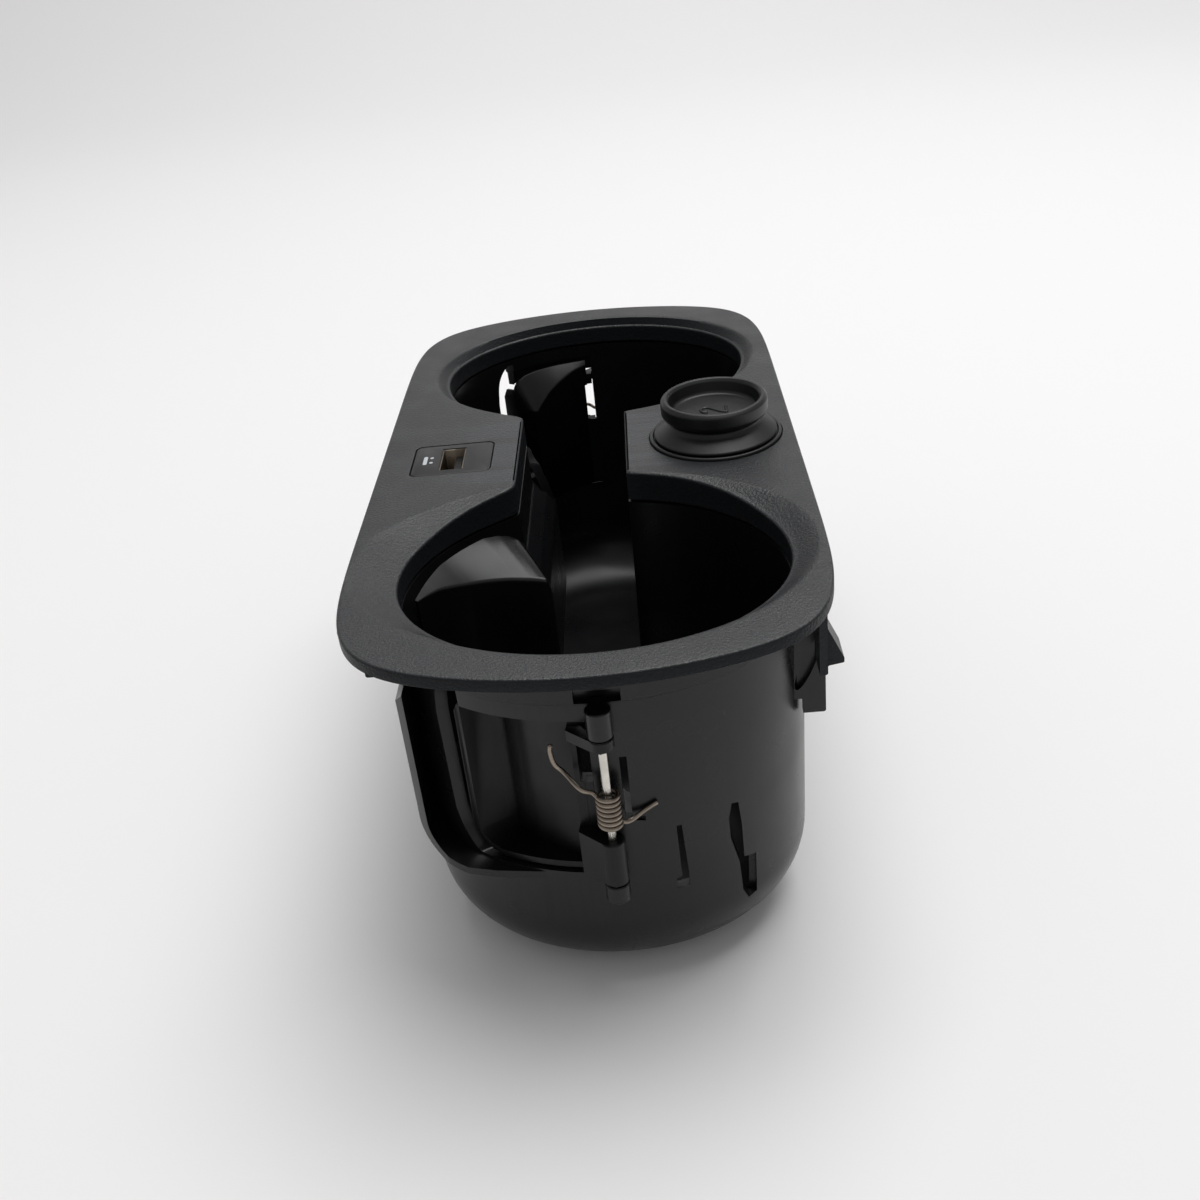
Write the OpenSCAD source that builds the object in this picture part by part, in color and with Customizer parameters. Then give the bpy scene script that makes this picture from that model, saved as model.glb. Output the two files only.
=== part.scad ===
// Twin car cup holder insert: a bezel over a dumbbell shaped tub, two sprung cup flaps,
// a charging port and a capped power socket. X runs across, Y along, Z up from the tub floor.

/* [Bezel] */
// Half width of the bezel
bezel_half_w = 56.2; // [54:0.1:60]
// Half length of the bezel
bezel_half_l = 114.2; // [111:0.1:120]
// Height of the bezel face above the underside of the tub
deck_h = 98; // [92:1:110]
// Radius of the bulge of each bezel end
end_bulge_r = 105; // [95:1:140]
// Squareness of the bezel corners, higher is squarer
corner_power = 8.5; // [7:0.5:11]
// Plate thickness of the bezel
bezel_t = 2.2; // [1.8:0.1:3]
// Height of the skirt round the edge of the bezel
skirt_h = 3.2; // [2.6:0.1:5]
// Depth of the sleeve that the bezel sends down into the tub
sleeve_h = 8; // [6:0.5:9]
// Wall of the sleeve
sleeve_t = 1.3; // [1.2:0.1:1.6]
// Depth that the face falls by at the edge of the openings
dish_drop = 1.8; // [0.5:0.1:3]

/* [Wells] */
// Distance between the centres of the two wells
well_pitch = 128.4; // [126:0.2:131]
// Sideways offset of the wells from the middle of the bezel
well_x = 2; // [0:0.1:3]
// Half width of each well
well_rx = 45.6; // [43:0.1:46.5]
// Half length of a well on its outer side
well_ry_out = 38.4; // [36:0.1:39.5]
// Half length of a well on its inner side
well_ry_in = 44; // [41:0.1:46]
// Half width of the channel to the left of the well centres
channel_left = 20.2; // [16:0.1:22]
// Half width of the channel to the right of the well centres
channel_right = 8.6; // [7:0.1:11]

/* [Tub] */
// Wall thickness of the tub
tub_wall = 2.5; // [2:0.1:3]
// Floor thickness of the tub
floor_t = 2.6; // [2:0.1:4]
// Radius between the wall and the floor of the tub
floor_r = 22; // [16:0.5:24]
// Inward lean of the tub wall over its height
draft = 1.2; // [0.4:0.1:1.6]
// Depth of the lower edge of the collar below the bezel face
collar_drop = 13; // [10.5:0.5:13.5]
// Clearance between pieces that slide into each other
fit_gap = 0.3; // [0.2:0.05:0.4]

/* [Flaps] */
// Depth of the top of the window next to the hinge
window_top = 17.3; // [16.5:0.1:18]
// Depth of the bottom of the window
window_bottom = 60; // [57:0.5:62]
// Clearance between a flap and its window
flap_gap = 0.9; // [0.7:0.1:1.2]
// Thickness of the flap walls
flap_t = 1.8; // [1.5:0.1:2]
// How far the flap reaches into the well
flap_reach = 8.5; // [6:0.5:9]
// How far the guide fin beside the channel reaches into the well
fin_reach = 17; // [12:0.5:18]
// How far the flap housing stands out to the left of the well centre
housing_left = 46; // [44:0.5:47]

/* [Hinges] */
// Diameter of the hinge pin
pin_d = 2; // [1.8:0.1:2.5]
// Diameter of the hinge knuckles
knuckle_d = 5.6; // [5:0.1:6.5]
// Distance from the well wall to the pin axis
pin_out = 5.6; // [5.4:0.1:6.5]
// Wire thickness of the torsion spring
wire_d = 0.9; // [0.7:0.1:1]
// Mean diameter of the spring coil
coil_d = 4; // [3.8:0.1:4.4]
// Turns of the spring coil
coil_turns = 6.5; // [5.5:1:7.5]

/* [Charging port] */
// Width of the port plate
port_plate_w = 21.5; // [19:0.5:23]
// Length of the port plate
port_plate_l = 19; // [17:0.5:22]
// Distance of the port plate centre to the left of the middle
port_x = 36.4; // [35:0.2:38]
// Distance of the port plate centre towards the front
port_y = 2.2; // [0:0.2:4]
// Width of the port opening
port_w = 5.8; // [5.6:0.1:6.4]
// Length of the port opening
port_l = 13.1; // [12.8:0.1:14]
// Depth of the port shell
port_depth = 18; // [14:1:22]

/* [Power socket] */
// Distance of the socket axis to the right of the middle
socket_x = 35.2; // [34:0.2:36]
// Distance of the socket axis towards the front
socket_y = 1; // [0:0.2:3]
// Inner diameter of the socket barrel
barrel_id = 21; // [20.8:0.1:21.4]
// Wall of the socket barrel
barrel_t = 0.8; // [0.6:0.1:1]
// Outer diameter of the socket housing
housing_d = 27; // [26:0.5:29]
// Length of the socket housing below the face
housing_l = 46; // [42:1:52]
// Outer diameter of the trim ring
ring_d = 35.6; // [34:0.2:37]
// Outer diameter of the cap rim
cap_d = 28.6; // [27:0.2:30]
// Height of the cap rim above the face
cap_h = 11; // [9:0.5:13]

/* [Fixings] */
// Shank diameter of the tub screws
screw_d = 3; // [2.5:0.1:3.5]
// Length of the tub screws
screw_l = 10; // [8:1:11]

/* [Hidden] */

// Points round each well half and along each side of the openings
end_n = 36;
side_n = 34;
ring_n = 2 * (end_n + side_n);
round_fn = 48;
eps = 0.01;
well_y = well_pitch / 2;

// Angle on the rounded square at which the long sides turn into the ends
end_height = bezel_half_l - pow(bezel_half_w, 2) / (2 * end_bulge_r);
turn_angle = atan(well_y / end_height);

// Share of the way round that point i has gone: right side, rear end, left side, front end
function is_rear(i) = i >= side_n && i < side_n + end_n;
function is_left(i) = i >= side_n + end_n && i < 2 * side_n + end_n;
function is_front(i) = i >= 2 * side_n + end_n;
function along(i) =
    is_front(i) ? (i - 2 * side_n - end_n) / end_n :
    is_left(i) ? (i - side_n - end_n) / side_n :
    is_rear(i) ? (i - side_n) / end_n : i / side_n;

// Height of point i when it lies on one of the long sides
function side_y(i) = well_y * (is_left(i) ? 1 - 2 * along(i) : 2 * along(i) - 1);

// Direction of point i on the rounded square that the bezel outline is drawn from
function outline_angle(i) =
    is_rear(i) ? turn_angle + (180 - 2 * turn_angle) * along(i) :
    is_front(i) ? 180 + turn_angle + (180 - 2 * turn_angle) * along(i) :
    is_left(i) ? 180 - atan(side_y(i) / end_height) : atan(side_y(i) / end_height);
function squircle_r(a) =
    pow(pow(abs(cos(a)), corner_power) + pow(abs(sin(a)), corner_power), -1 / corner_power);
function outline_x(i) = bezel_half_w * squircle_r(outline_angle(i)) * cos(outline_angle(i));
function outline_point(i) = [outline_x(i), (bezel_half_l - pow(outline_x(i), 2) / (2 * end_bulge_r))
    * squircle_r(outline_angle(i)) * sin(outline_angle(i))];

// Half width of the opening at height y: inner half of a well, blended into the channel
blend_power = 7;
function well_reach(y) = let (u = (well_y - abs(y)) / well_ry_in)
    u < 1 ? well_rx * sqrt(1 - u * u) : 0;
function side_reach(y, channel) =
    pow(pow(well_reach(y), blend_power) + pow(channel, blend_power), 1 / blend_power);
function end_angle(i) = (is_rear(i) ? 0 : 180) + 180 * along(i);
function opening_point(i) = is_rear(i) || is_front(i) ?
    [well_x + well_rx * cos(end_angle(i)),
        (is_rear(i) ? well_y : -well_y) + well_ry_out * sin(end_angle(i))] :
    [well_x + (is_left(i) ? -side_reach(side_y(i), channel_left) :
        side_reach(side_y(i), channel_right)), side_y(i)];
opening = [for (i = [0 : ring_n - 1]) opening_point(i)];
outline = [for (i = [0 : ring_n - 1]) outline_point(i)];

// Outward normal of a closed counter-clockwise loop at point i, and the loop moved out by d
function unit(v) = v / norm(v);
function loop_normal(loop, i) =
    let (n = len(loop), t = unit(loop[(i + 2) % n] - loop[(i + n - 2) % n])) [t[1], -t[0]];
function grown(loop, d) =
    [for (i = [0 : len(loop) - 1]) loop[i] + d * loop_normal(loop, i)];
function at_drop(loop, drop) = [for (p = loop) [p[0], p[1], deck_h - drop]];

// Closed ring surface through the loops of rings, the last joined to the first
module ring_loft(rings) {
    n = len(rings[0]);
    m = len(rings);
    polyhedron(points = [for (r = rings) each r], convexity = 8,
        faces = [for (k = [0 : m - 1], i = [0 : n - 1]) let (a = k * n, b = ((k + 1) % m) * n,
            j = (i + 1) % n) each [[a + i, b + i, b + j], [a + i, b + j, a + j]]]);
}

// Solid through the loops of rings with a flat face over the first and the last
module capped_loft(rings) {
    n = len(rings[0]);
    m = len(rings);
    polyhedron(points = [for (r = rings) each r], convexity = 8,
        faces = concat([[for (i = [n - 1 : -1 : 0]) i]], [[for (i = [0 : n - 1]) (m - 1) * n + i]],
            [for (k = [0 : m - 2], i = [0 : n - 1]) let (a = k * n, b = (k + 1) * n,
                j = (i + 1) % n) each [[a + i, b + j, b + i], [a + i, a + j, b + j]]]));
}

// Width of the falling band round the openings: wide at the front well, nothing at the channel
dish_front = 6;
dish_rear = 3.5;
dish_left_extra = 3;
function dish_fade(y) = max(0, min(1, (abs(y) - 20) / 28));
function dish_w(i) = let (y = opening[i][1], x = opening[i][0]) 0.4 + dish_fade(y)
    * ((y < 0 ? dish_front : dish_rear) * (abs(y) > well_y ? 1 - 0.6 * sin(abs(
        asin(max(-1, min(1, (abs(y) - well_y) / well_ry_out))))) : 1)
    + (x < 0 && y < 0 && y > -well_y ? dish_left_extra : 0));
function dish_z(i) = dish_drop * dish_fade(opening[i][1]);
dish_rim = [for (i = [0 : ring_n - 1]) opening[i] + dish_w(i) * loop_normal(opening, i)];

edge_r = 1.2;
edge_inset = 0.35;
lip_r = 0.8;
under = 0.3;

module bezel_shell() {
    inner_top = [for (i = [0 : ring_n - 1]) let (p = opening[i] + lip_r * loop_normal(opening, i))
        [p[0], p[1], deck_h - dish_z(i)]];
    inner_edge = [for (i = [0 : ring_n - 1]) [opening[i][0], opening[i][1],
        deck_h - dish_z(i) - lip_r]];
    sleeve_out = grown(opening, sleeve_t);
    ring_loft([
        at_drop(outline, skirt_h),
        at_drop(outline, edge_r),
        at_drop(grown(outline, -edge_inset), edge_inset),
        at_drop(grown(outline, -edge_r), 0),
        at_drop(dish_rim, 0),
        inner_top,
        inner_edge,
        at_drop(opening, sleeve_h),
        at_drop(sleeve_out, sleeve_h),
        at_drop(sleeve_out, bezel_t + dish_drop),
        at_drop(grown(outline, -bezel_t), bezel_t + under),
        at_drop(grown(outline, -bezel_t + eps), skirt_h)
    ]);
}

// Distance w out from the wall of the front well at angle t, from the centre of the well
function wall_ry(t) = sin(t) > 0 ? well_ry_in : well_ry_out;
function wall_point(t, w) = let (ry = wall_ry(t))
    [well_rx * cos(t), ry * sin(t)] + w * unit([ry * cos(t), well_rx * sin(t)]);

// Screw ears on the collar, clear of the flaps: place from the well centre, and facing
ear_d = 8;
ear_t = 3;
ear_drop = sleeve_h;
ear_angle = 38;
ear_y_in = 15.5;
collar_t = 1.4;
collar_out = sleeve_t + fit_gap + collar_t;
ears = [[wall_point(ear_angle, collar_out + ear_d / 2), ear_angle],
    [[-channel_left - collar_out - ear_d / 2, well_y - ear_y_in], 180]];
module at_ears() {
    for (ear = ears, side = [0, 1]) mirror([0, side, 0])
        translate([well_x + ear[0][0], ear[0][1] - well_y, deck_h])
            rotate([0, 0, ear[1]]) children();
}
module ear_web(t) {
    web_w = 0.7 * ear_d;
    translate([-ear_d / 2 - 1, -web_w / 2, 0]) cube([ear_d / 2 + 1, web_w, t]);
}

// Clips that hold the bezel in the console: side, place along it, depth of the leg, depths
// of the tooth, and how far the tooth reaches from the middle
clip_w = 8;
clip_t = 1.8;
clip_inset = 2.4;
clips = [[-1, -70, 22, 5.9, 10, 57.8], [-1, 70, 22, 5.9, 10, 57.8],
    [1, 70, 22, 5.9, 10, 57.8], [1, -87, 20, 8, 18, 56.4]];
function side_x(y) = outline_half(y) - clip_inset;
function outline_half(y) = lookup(abs(y), [[0, bezel_half_w], [70, bezel_half_w - 0.3],
    [90, bezel_half_w - 2]]);
module bezel_clip(c) {
    leg_x = side_x(c[1]);
    translate([0, c[1] + clip_w / 2, deck_h]) rotate([90, 0, 0])
        linear_extrude(height = clip_w) scale([c[0], 1]) polygon([
            [leg_x - clip_t, -bezel_t], [leg_x, -bezel_t], [leg_x, -c[3]], [c[5], -c[4] + 1.2],
            [c[5], -c[4]], [leg_x, -c[4] - 0.6], [leg_x, -c[2]], [leg_x - clip_t, -c[2]]]);
}

plate_recess = 1.2;
module port_cut(extra, depth) {
    translate([-port_x - port_plate_w / 2 - extra, -port_y - port_plate_l / 2 - extra,
        deck_h - depth])
        cube([port_plate_w + 2 * extra, port_plate_l + 2 * extra, depth + 1]);
}

socket_seat = 1;
module bezel() {
    color("#44474a") {
        difference() {
            bezel_shell();
            port_cut(fit_gap, plate_recess);
            translate([-port_x - port_w, -port_y - port_l / 2 - 1.5, deck_h - deck_h / 10])
                cube([2 * port_w, port_l + 3, deck_h / 10]);
            translate([socket_x, -socket_y, deck_h - socket_seat])
                cylinder(d = ring_d + 2 * fit_gap, h = 2, $fn = round_fn);
            translate([socket_x, -socket_y, deck_h - 2 * skirt_h])
                cylinder(d = housing_d + 2 * fit_gap, h = 3 * skirt_h, $fn = round_fn);
        }
        for (c = clips) bezel_clip(c);
        at_ears() translate([0, 0, -ear_drop]) difference() {
            cylinder(d = ear_d - 1, h = ear_drop - bezel_t + eps, $fn = round_fn);
            translate([0, 0, -eps])
                cylinder(d = screw_d, h = screw_l - ear_t - bezel_t, $fn = round_fn);
        }
    }
}

// Depth and inset of the tub surface between its rim and its floor
fillet_n = 5;
function wall_lean(drop) = draft * (drop - sleeve_h) / (deck_h - sleeve_h);
function fillet_rings(base, drop_end, r) = [for (k = [0 : fillet_n]) let (a = 90 * k / fillet_n,
    centre = drop_end - r)
    at_drop(grown(opening, base - wall_lean(centre) - r * (1 - cos(a))), centre + r * sin(a))];

// The tub as one skin: from its floor up the inside, over the rim and down the outside
rim_drop = bezel_t + dish_drop + fit_gap;
rim_slope = 0.2;
step_slope = 0.3;
module tub_shell() {
    inner = fillet_rings(0, deck_h - floor_t, floor_r - tub_wall);
    capped_loft(concat([for (k = [fillet_n : -1 : 0]) inner[k]],
        [at_drop(opening, sleeve_h + fit_gap + step_slope),
        at_drop(grown(opening, sleeve_t + fit_gap), sleeve_h + fit_gap),
        at_drop(grown(opening, sleeve_t + fit_gap), rim_drop - rim_slope),
        at_drop(grown(opening, collar_out), rim_drop),
        at_drop(grown(opening, collar_out), collar_drop),
        at_drop(grown(opening, tub_wall), collar_drop + step_slope)],
        fillet_rings(tub_wall, deck_h, floor_r)));
}

// The front well is drawn; the rear one is its mirror image. Places on the well wall are given
// by the angle t round its centre and the distance w out from the wall.
module at_front_well() {
    translate([well_x, -well_y, deck_h]) children();
}
module at_rear_well() {
    mirror([0, 1, 0]) at_front_well() children();
}
module wall_sector(t0, t1, w0, w1, drop0, drop1, steps = 16) {
    ts = [for (k = [0 : steps]) t0 + (t1 - t0) * k / steps];
    translate([0, 0, -drop1]) linear_extrude(height = drop1 - drop0)
        polygon(concat([for (t = ts) wall_point(t, w0)],
            [for (k = [steps : -1 : 0]) wall_point(ts[k], w1)]));
}

// Solid along the well wall through the sections at the angles ts
function placed(t, lean, section) = [for (s = section) let (a = t - lean * s[0])
    [wall_point(a, s[0])[0], wall_point(a, s[0])[1], -s[1]]];

// Window that the flap swings through, with rounded corners at its far end, and the recess
// above it that takes the top of the flap
window_angles = [220, 220.6, 222, 224, 227, 230, 232.4, 232.5, 240, 250, 260, 266.5];
function window_lean(t) = lookup(t, [[232.5, 0.6], [240, 0]]);
window_w = 14;
band_w = 1.5;
recess_top = 12.4;
recess_start = 231;
function window_top_at(t) = lookup(t, [[220, 24], [220.6, 18], [222, 14.5], [224, 12.2],
    [227, 10.6], [232.4, 10], [232.5, window_top], [270, window_top]]);
function window_bottom_at(t) = window_bottom - lookup(t, [[220, 11], [220.6, 8.5], [222, 5.5],
    [224, 3], [227, 1], [230, 0], [270, 0]]);
function window_section(t) = placed(t, window_lean(t),
    [[window_w, window_top_at(t)], [-6, window_top_at(t)], [-6, window_bottom_at(t)],
    [window_w, window_bottom_at(t)]]);
module window_cut() {
    capped_loft([for (t = window_angles) window_section(t)]);
    wall_sector(recess_start, window_angles[len(window_angles) - 1], -6, band_w, recess_top,
        window_top + 1);
}

// Housing round the far end of the window: a wall and a floor, open to the front
housing_t = 2;
housing_r = 10;
housing_top = 14;
housing_plan = [[-47, -8], [-47, -23.5], [-44.5, -26.3], [-39.7, -31.1], [-34.7, -34.4],
    [-28, -36.2], [-18, -37.6], [-10, -38], [-10, -8]];
module flap_housing() {
    end_drop = window_bottom + housing_t + 0.6;
    intersection() {
        difference() {
            rotate([90, 0, 0]) linear_extrude(height = 60) difference() {
                housing_profile(0, end_drop);
                housing_profile(housing_t, end_drop);
            }
            wall_sector(190, 275, -30, 1, 0, deck_h);
        }
        translate([0, 0, -end_drop - 1]) linear_extrude(height = deck_h) polygon(housing_plan);
    }
}
module housing_profile(inset, end_drop) {
    r = housing_r - inset;
    left = -housing_left + inset;
    low = -end_drop + inset;
    polygon(concat([[left + (inset > 0 ? 0 : 4), -housing_top + (inset > 0 ? 4 : 0)],
        [left, -housing_top - 5]],
        [for (a = [180 : 15 : 270]) [left + r + r * cos(a), low + r + r * sin(a)]],
        [[1, low], [1, -housing_top + (inset > 0 ? 4 : 0)]]));
}

// Heights along the pin axis, measured down from the bezel face
boss_top = collar_drop - 1;
boss_end = 22.5;
knuckle_gap = 0.25;
upper_knuckle_end = 27.3;
coil_top = 38.2;
lower_knuckle_top = 49.2;
flap_bottom = window_bottom - flap_gap;
foot_end = flap_bottom + 5;
pin_bottom = foot_end - 1.5;
pin_top = boss_top + 1;
pin_y = -(well_ry_out + pin_out);
pin_clearance = 0.05;
module at_pin() {
    translate([0, pin_y, 0]) children();
}

// Boss on the tub wall with its web, from drop0 to drop1
module tub_boss(drop0, drop1) {
    web_w = 3.4;
    translate([0, 0, -drop1]) {
        at_pin() cylinder(d = knuckle_d, h = drop1 - drop0, $fn = round_fn);
        translate([-web_w / 2, pin_y, 0])
            cube([web_w, pin_out - tub_wall + draft, drop1 - drop0]);
    }
}
module tub_hinge() {
    tub_boss(boss_top, boss_end);
    tub_boss(flap_bottom + knuckle_gap, foot_end);
}
module tub_pin_bores() {
    translate([0, pin_y, -boss_end - eps])
        cylinder(d = pin_d, h = boss_end - pin_top + eps, $fn = round_fn);
    translate([0, pin_y, -pin_bottom])
        cylinder(d = pin_d, h = pin_bottom - flap_bottom, $fn = round_fn);
}

// Slots that the moulding tool leaves in the tub wall, drawn in the plane of the wall
slot_reach = 12;
module wall_slot(points) {
    translate([0, -well_ry_out + 4, 0]) rotate([90, 0, 0])
        linear_extrude(height = slot_reach) polygon(points);
}
module tub_slots() {
    wall_slot([[3.2, -27.5], [4.8, -27.5], [4.8, -44], [7.6, -44.6], [7.6, -46], [3.2, -45]]);
    wall_slot([[14.2, -49.4], [15.4, -49.4], [16.2, -64], [16.2, -68], [13.2, -68],
        [13.2, -65], [14.6, -64.4]]);
    wall_slot([[27, -48.5], [28.6, -49], [29.2, -56], [29.4, -66], [32.3, -67], [32.1, -79],
        [30, -79.8], [28.7, -76], [28.2, -67], [26.4, -58.5], [26.2, -52.5]]);
}

// Lug with an oval eye on the right of the tub
lug_t = 2.2;
lug_angle = 338;
module tub_lug() {
    translate([wall_point(lug_angle, 0)[0], wall_point(lug_angle, 0)[1], -33])
        rotate([90, 0, 0]) difference() {
            linear_extrude(height = lug_t)
                polygon([[0, 0], [7.5, 0], [9.3, 4], [9.3, 20], [0, 20]]);
            translate([4.8, 11, -eps]) linear_extrude(height = lug_t + 2 * eps)
                polygon([for (a = [0 : 15 : 345]) [2.2 * cos(a), 5.4 * sin(a)]]);
        }
}

// Notch under the front of the bezel that shows as a dark recess over the hinge
module collar_notch() {
    translate([-5, -well_ry_out - collar_out - 1, -collar_drop + 0.6])
        cube([10, 3, 3.2]);
}

// Lip of the collar round the notch
module notch_lip() {
    intersection() {
        wall_sector(250, 290, 1, collar_out, collar_drop - 1, collar_drop + 4);
        translate([0, -20, 0]) rotate([90, 0, 0]) linear_extrude(height = 40)
            polygon([[-8.3, -collar_drop + 0.5], [-8.3, -collar_drop], [-5.7, -collar_drop - 2.6],
                [3.5, -collar_drop - 2.6], [6.4, -collar_drop], [6.4, -collar_drop + 0.5]]);
    }
}

// Guide fin beside the channel: a ledge that slopes into the well over an upright face,
// hollow from the outside of the tub
fin_angles = [112, 112.6, 113.6, 115.2, 117, 120, 124, 130, 137, 147, 158, 168];
function fin_in(t) = fin_reach * lookup(t, [[112, 0.58], [113.6, 0.86], [117, 1], [130, 0.78],
    [147, 0.38], [158, 0.18], [168, 0.04]]);
function fin_top(t) = lookup(t, [[112, 26], [112.6, 22.5], [113.6, 20], [115.2, 17], [117, 15],
    [120, 13], [124, 11.4], [130, 10.2], [150, 10.2], [168, 12.6]]);
function fin_foot(t) = lookup(t, [[112, 28], [113.6, 23.5], [117, 19], [130, 17.6], [147, 16.2],
    [158, 14.2], [168, 13.4]]);
fin_bottom = window_bottom - 0.9;
fin_root = 1;
module guide_fin() {
    capped_loft([for (t = fin_angles) placed(t, 0, [[fin_root, fin_top(t)],
        [-fin_in(t), fin_foot(t)], [-fin_in(t), fin_bottom], [fin_root, fin_bottom]])]);
}
module fin_hollow(t0, t1) {
    steps = 9;
    capped_loft([for (k = [0 : steps]) let (t = t0 + (t1 - t0) * k / steps,
        back = flap_t - fin_in(t)) placed(t, 0, [[6, fin_top(t) + 2.6],
            [back, max(fin_foot(t) + 1.4, fin_top(t) + 2.6)], [back, fin_bottom - flap_t],
            [6, fin_bottom - flap_t]])]);
}
module fin_cavity() {
    wall_sector(114.6, 152, -0.5, 6, 18.6, fin_bottom - flap_t);
}

module well_features() {
    difference() {
        guide_fin();
        fin_hollow(114.6, 152);
    }
    tub_hinge();
    tub_lug();
    flap_housing();
    notch_lip();
}

module cup_tub() {
    color("#1d1e20") difference() {
        union() {
            difference() {
                tub_shell();
                at_front_well() { window_cut(); fin_cavity(); }
                at_rear_well() { window_cut(); fin_cavity(); }
            }
            at_front_well() well_features();
            at_rear_well() well_features();
            at_ears() translate([0, 0, -ear_drop - ear_t]) {
                cylinder(d = ear_d, h = ear_t, $fn = round_fn);
                ear_web(ear_t);
            }
        }
        at_front_well() { tub_pin_bores(); tub_slots(); collar_notch(); }
        at_rear_well() { tub_pin_bores(); tub_slots(); }
        at_ears() translate([0, 0, -ear_drop - ear_t - 1])
            cylinder(d = screw_d + 0.4, h = ear_t + 2, $fn = round_fn);
    }
}

// The flap: a ledge that slopes into the well, widest at its free end, over an upright face
flap_start = 264;
flap_end = 226;
flap_bottom_r = 8;
function flap_in(t) = flap_reach * lookup(t, [[226, 0.5], [227.5, 0.75], [229.5, 0.92], [232, 1],
    [241, 0.84], [250, 0.6], [258, 0.34], [264, 0.14]]);
function flap_lip(t) = lookup(t, [[226, -2.2], [232, -2.2], [240, -1.6], [250, -0.7],
    [264, -0.3]]);
function ledge_top(t) = lookup(t, [[226, 19.5], [227.5, 17], [229.5, 15.2], [234, 14],
    [240, 13.6], [264, 13.5]]);
function ledge_foot(t) = lookup(t, [[226, 24], [229.5, 25], [232, 25], [241, 21.3], [250, 18],
    [258, 15.6], [264, 14.7]]);
function flap_low(t) = flap_bottom - lookup(t, [[226, 8], [227.5, 5], [229.5, 2.6], [232, 1],
    [236, 0], [264, 0]]);
function flap_lean(t) = lookup(t, [[226, 0.45], [245, 0]]);
flap_back = 1.2;
back_top = window_top + flap_gap;
lip_t = 0.8;
function flap_body_section(t) = placed(t, flap_lean(t), [[flap_lip(t), ledge_top(t)],
    [flap_lip(t) - lip_t, ledge_top(t)], [-flap_in(t) - lip_t, ledge_foot(t)],
    [-flap_in(t) - lip_t, flap_low(t)], [flap_back, flap_low(t)],
    [flap_back, max(back_top, ledge_top(t) + 1)], [flap_lip(t), max(back_top, ledge_top(t) + 1)]]);

// What is hollowed out behind the face, leaving the ledge, the face and the floor of the flap
function flap_cavity_section(t) = let (back = flap_t - lip_t - flap_in(t), out = flap_back + 3,
    top = back_top - 1)
    placed(t, flap_lean(t), [[back, max(ledge_foot(t) + 0.7 * flap_t, top)],
        [back, flap_low(t) - flap_t], [out, flap_low(t) - flap_t], [out, top],
        [max(flap_lip(t), back + 0.1), top - 0.2]]);
module flap_cavity(t0, t1, steps) {
    capped_loft([for (k = [0 : steps]) flap_cavity_section(t0 + (t1 - t0) * k / steps)]);
}

end_wall_angle = 2.6;
rib_angle = 1.6;
rib_angles = [238, 250];
flap_angles = [226, 226.6, 227.5, 229.5, 232, 236, 240, 245, 250, 255, 260, 264];
module flap() {
    difference() {
        capped_loft([for (t = flap_angles) flap_body_section(t)]);
        flap_cavity(flap_end + end_wall_angle, rib_angles[0] - rib_angle / 2, 4);
        flap_cavity(rib_angles[0] + rib_angle / 2, rib_angles[1] - rib_angle / 2, 3);
        flap_cavity(rib_angles[1] + rib_angle / 2, flap_start - end_wall_angle, 3);
    }
    flap_knuckle(boss_end + knuckle_gap, upper_knuckle_end);
    flap_knuckle(lower_knuckle_top, flap_bottom - knuckle_gap);
}
link_w = 3;
link_angle = 3;
module flap_knuckle(drop0, drop1) {
    link = [[0, pin_y + knuckle_d / 2], [-3.4, pin_y + knuckle_d / 2],
        wall_point(flap_start - link_angle / 2, -flap_in(flap_start)),
        wall_point(flap_start - link_angle, 0), wall_point(flap_start - link_angle, link_w),
        [-3, pin_y - knuckle_d / 2 + 0.5], [0, pin_y - knuckle_d / 2]];
    translate([0, 0, -drop1]) difference() {
        union() {
            at_pin() cylinder(d = knuckle_d, h = drop1 - drop0, $fn = round_fn);
            linear_extrude(height = drop1 - drop0) polygon(link);
        }
        translate([0, pin_y, -eps]) cylinder(d = pin_d + 2 * pin_clearance,
            h = drop1 - drop0 + 2 * eps, $fn = round_fn);
    }
}
module flap_front() {
    color("#232427") at_front_well() flap();
}
module flap_rear() {
    color("#232427") at_rear_well() flap();
}

module hinge_pin() {
    translate([0, pin_y, -pin_bottom])
        cylinder(d = pin_d, h = pin_bottom - pin_top, $fn = round_fn);
}
module pin_front() {
    color("#d9d6cf") at_front_well() hinge_pin();
}
module pin_rear() {
    color("#d9d6cf") at_rear_well() hinge_pin();
}

// Torsion spring round the pin: one leg lies on the flap, the other along the tub wall
spring_steps = 12;
spring_sides = 5;
coil_pitch = wire_d * 1.45;
coil_start = 200;
function coil_point(k) = let (a = coil_start + 360 * k / spring_steps) [coil_d / 2 * cos(a),
    pin_y + coil_d / 2 * sin(a), -coil_top - coil_pitch * k / spring_steps];
leg_angle = 256;
leg_w = flap_t - lip_t - flap_in(leg_angle) + wire_d / 2 + 0.15;
leg_on_flap = wall_point(leg_angle, leg_w);
coil_last = coil_point(round(coil_turns * spring_steps));
spring_path = concat(
    [[leg_on_flap[0] - 0.3, leg_on_flap[1], -25.5], [leg_on_flap[0], leg_on_flap[1], -29.5],
        [-7.6, pin_y + 2.2, -32], [-3.2, pin_y + 0.4, -35.4]],
    [for (k = [0 : round(coil_turns * spring_steps)]) coil_point(k)],
    [[coil_last[0] + 1.6, pin_y + 1.6, coil_last[2] - 0.5],
        [coil_last[0] + 3.2, pin_y + 2.4, coil_last[2] - 0.2],
        [coil_last[0] + 8.4, pin_y + pin_out - tub_wall - wire_d / 2 + 0.9, coil_last[2] + 1.6]]);
function path_dir(path, i) =
    unit(path[min(i + 1, len(path) - 1)] - path[max(i - 1, 0)]);
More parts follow.
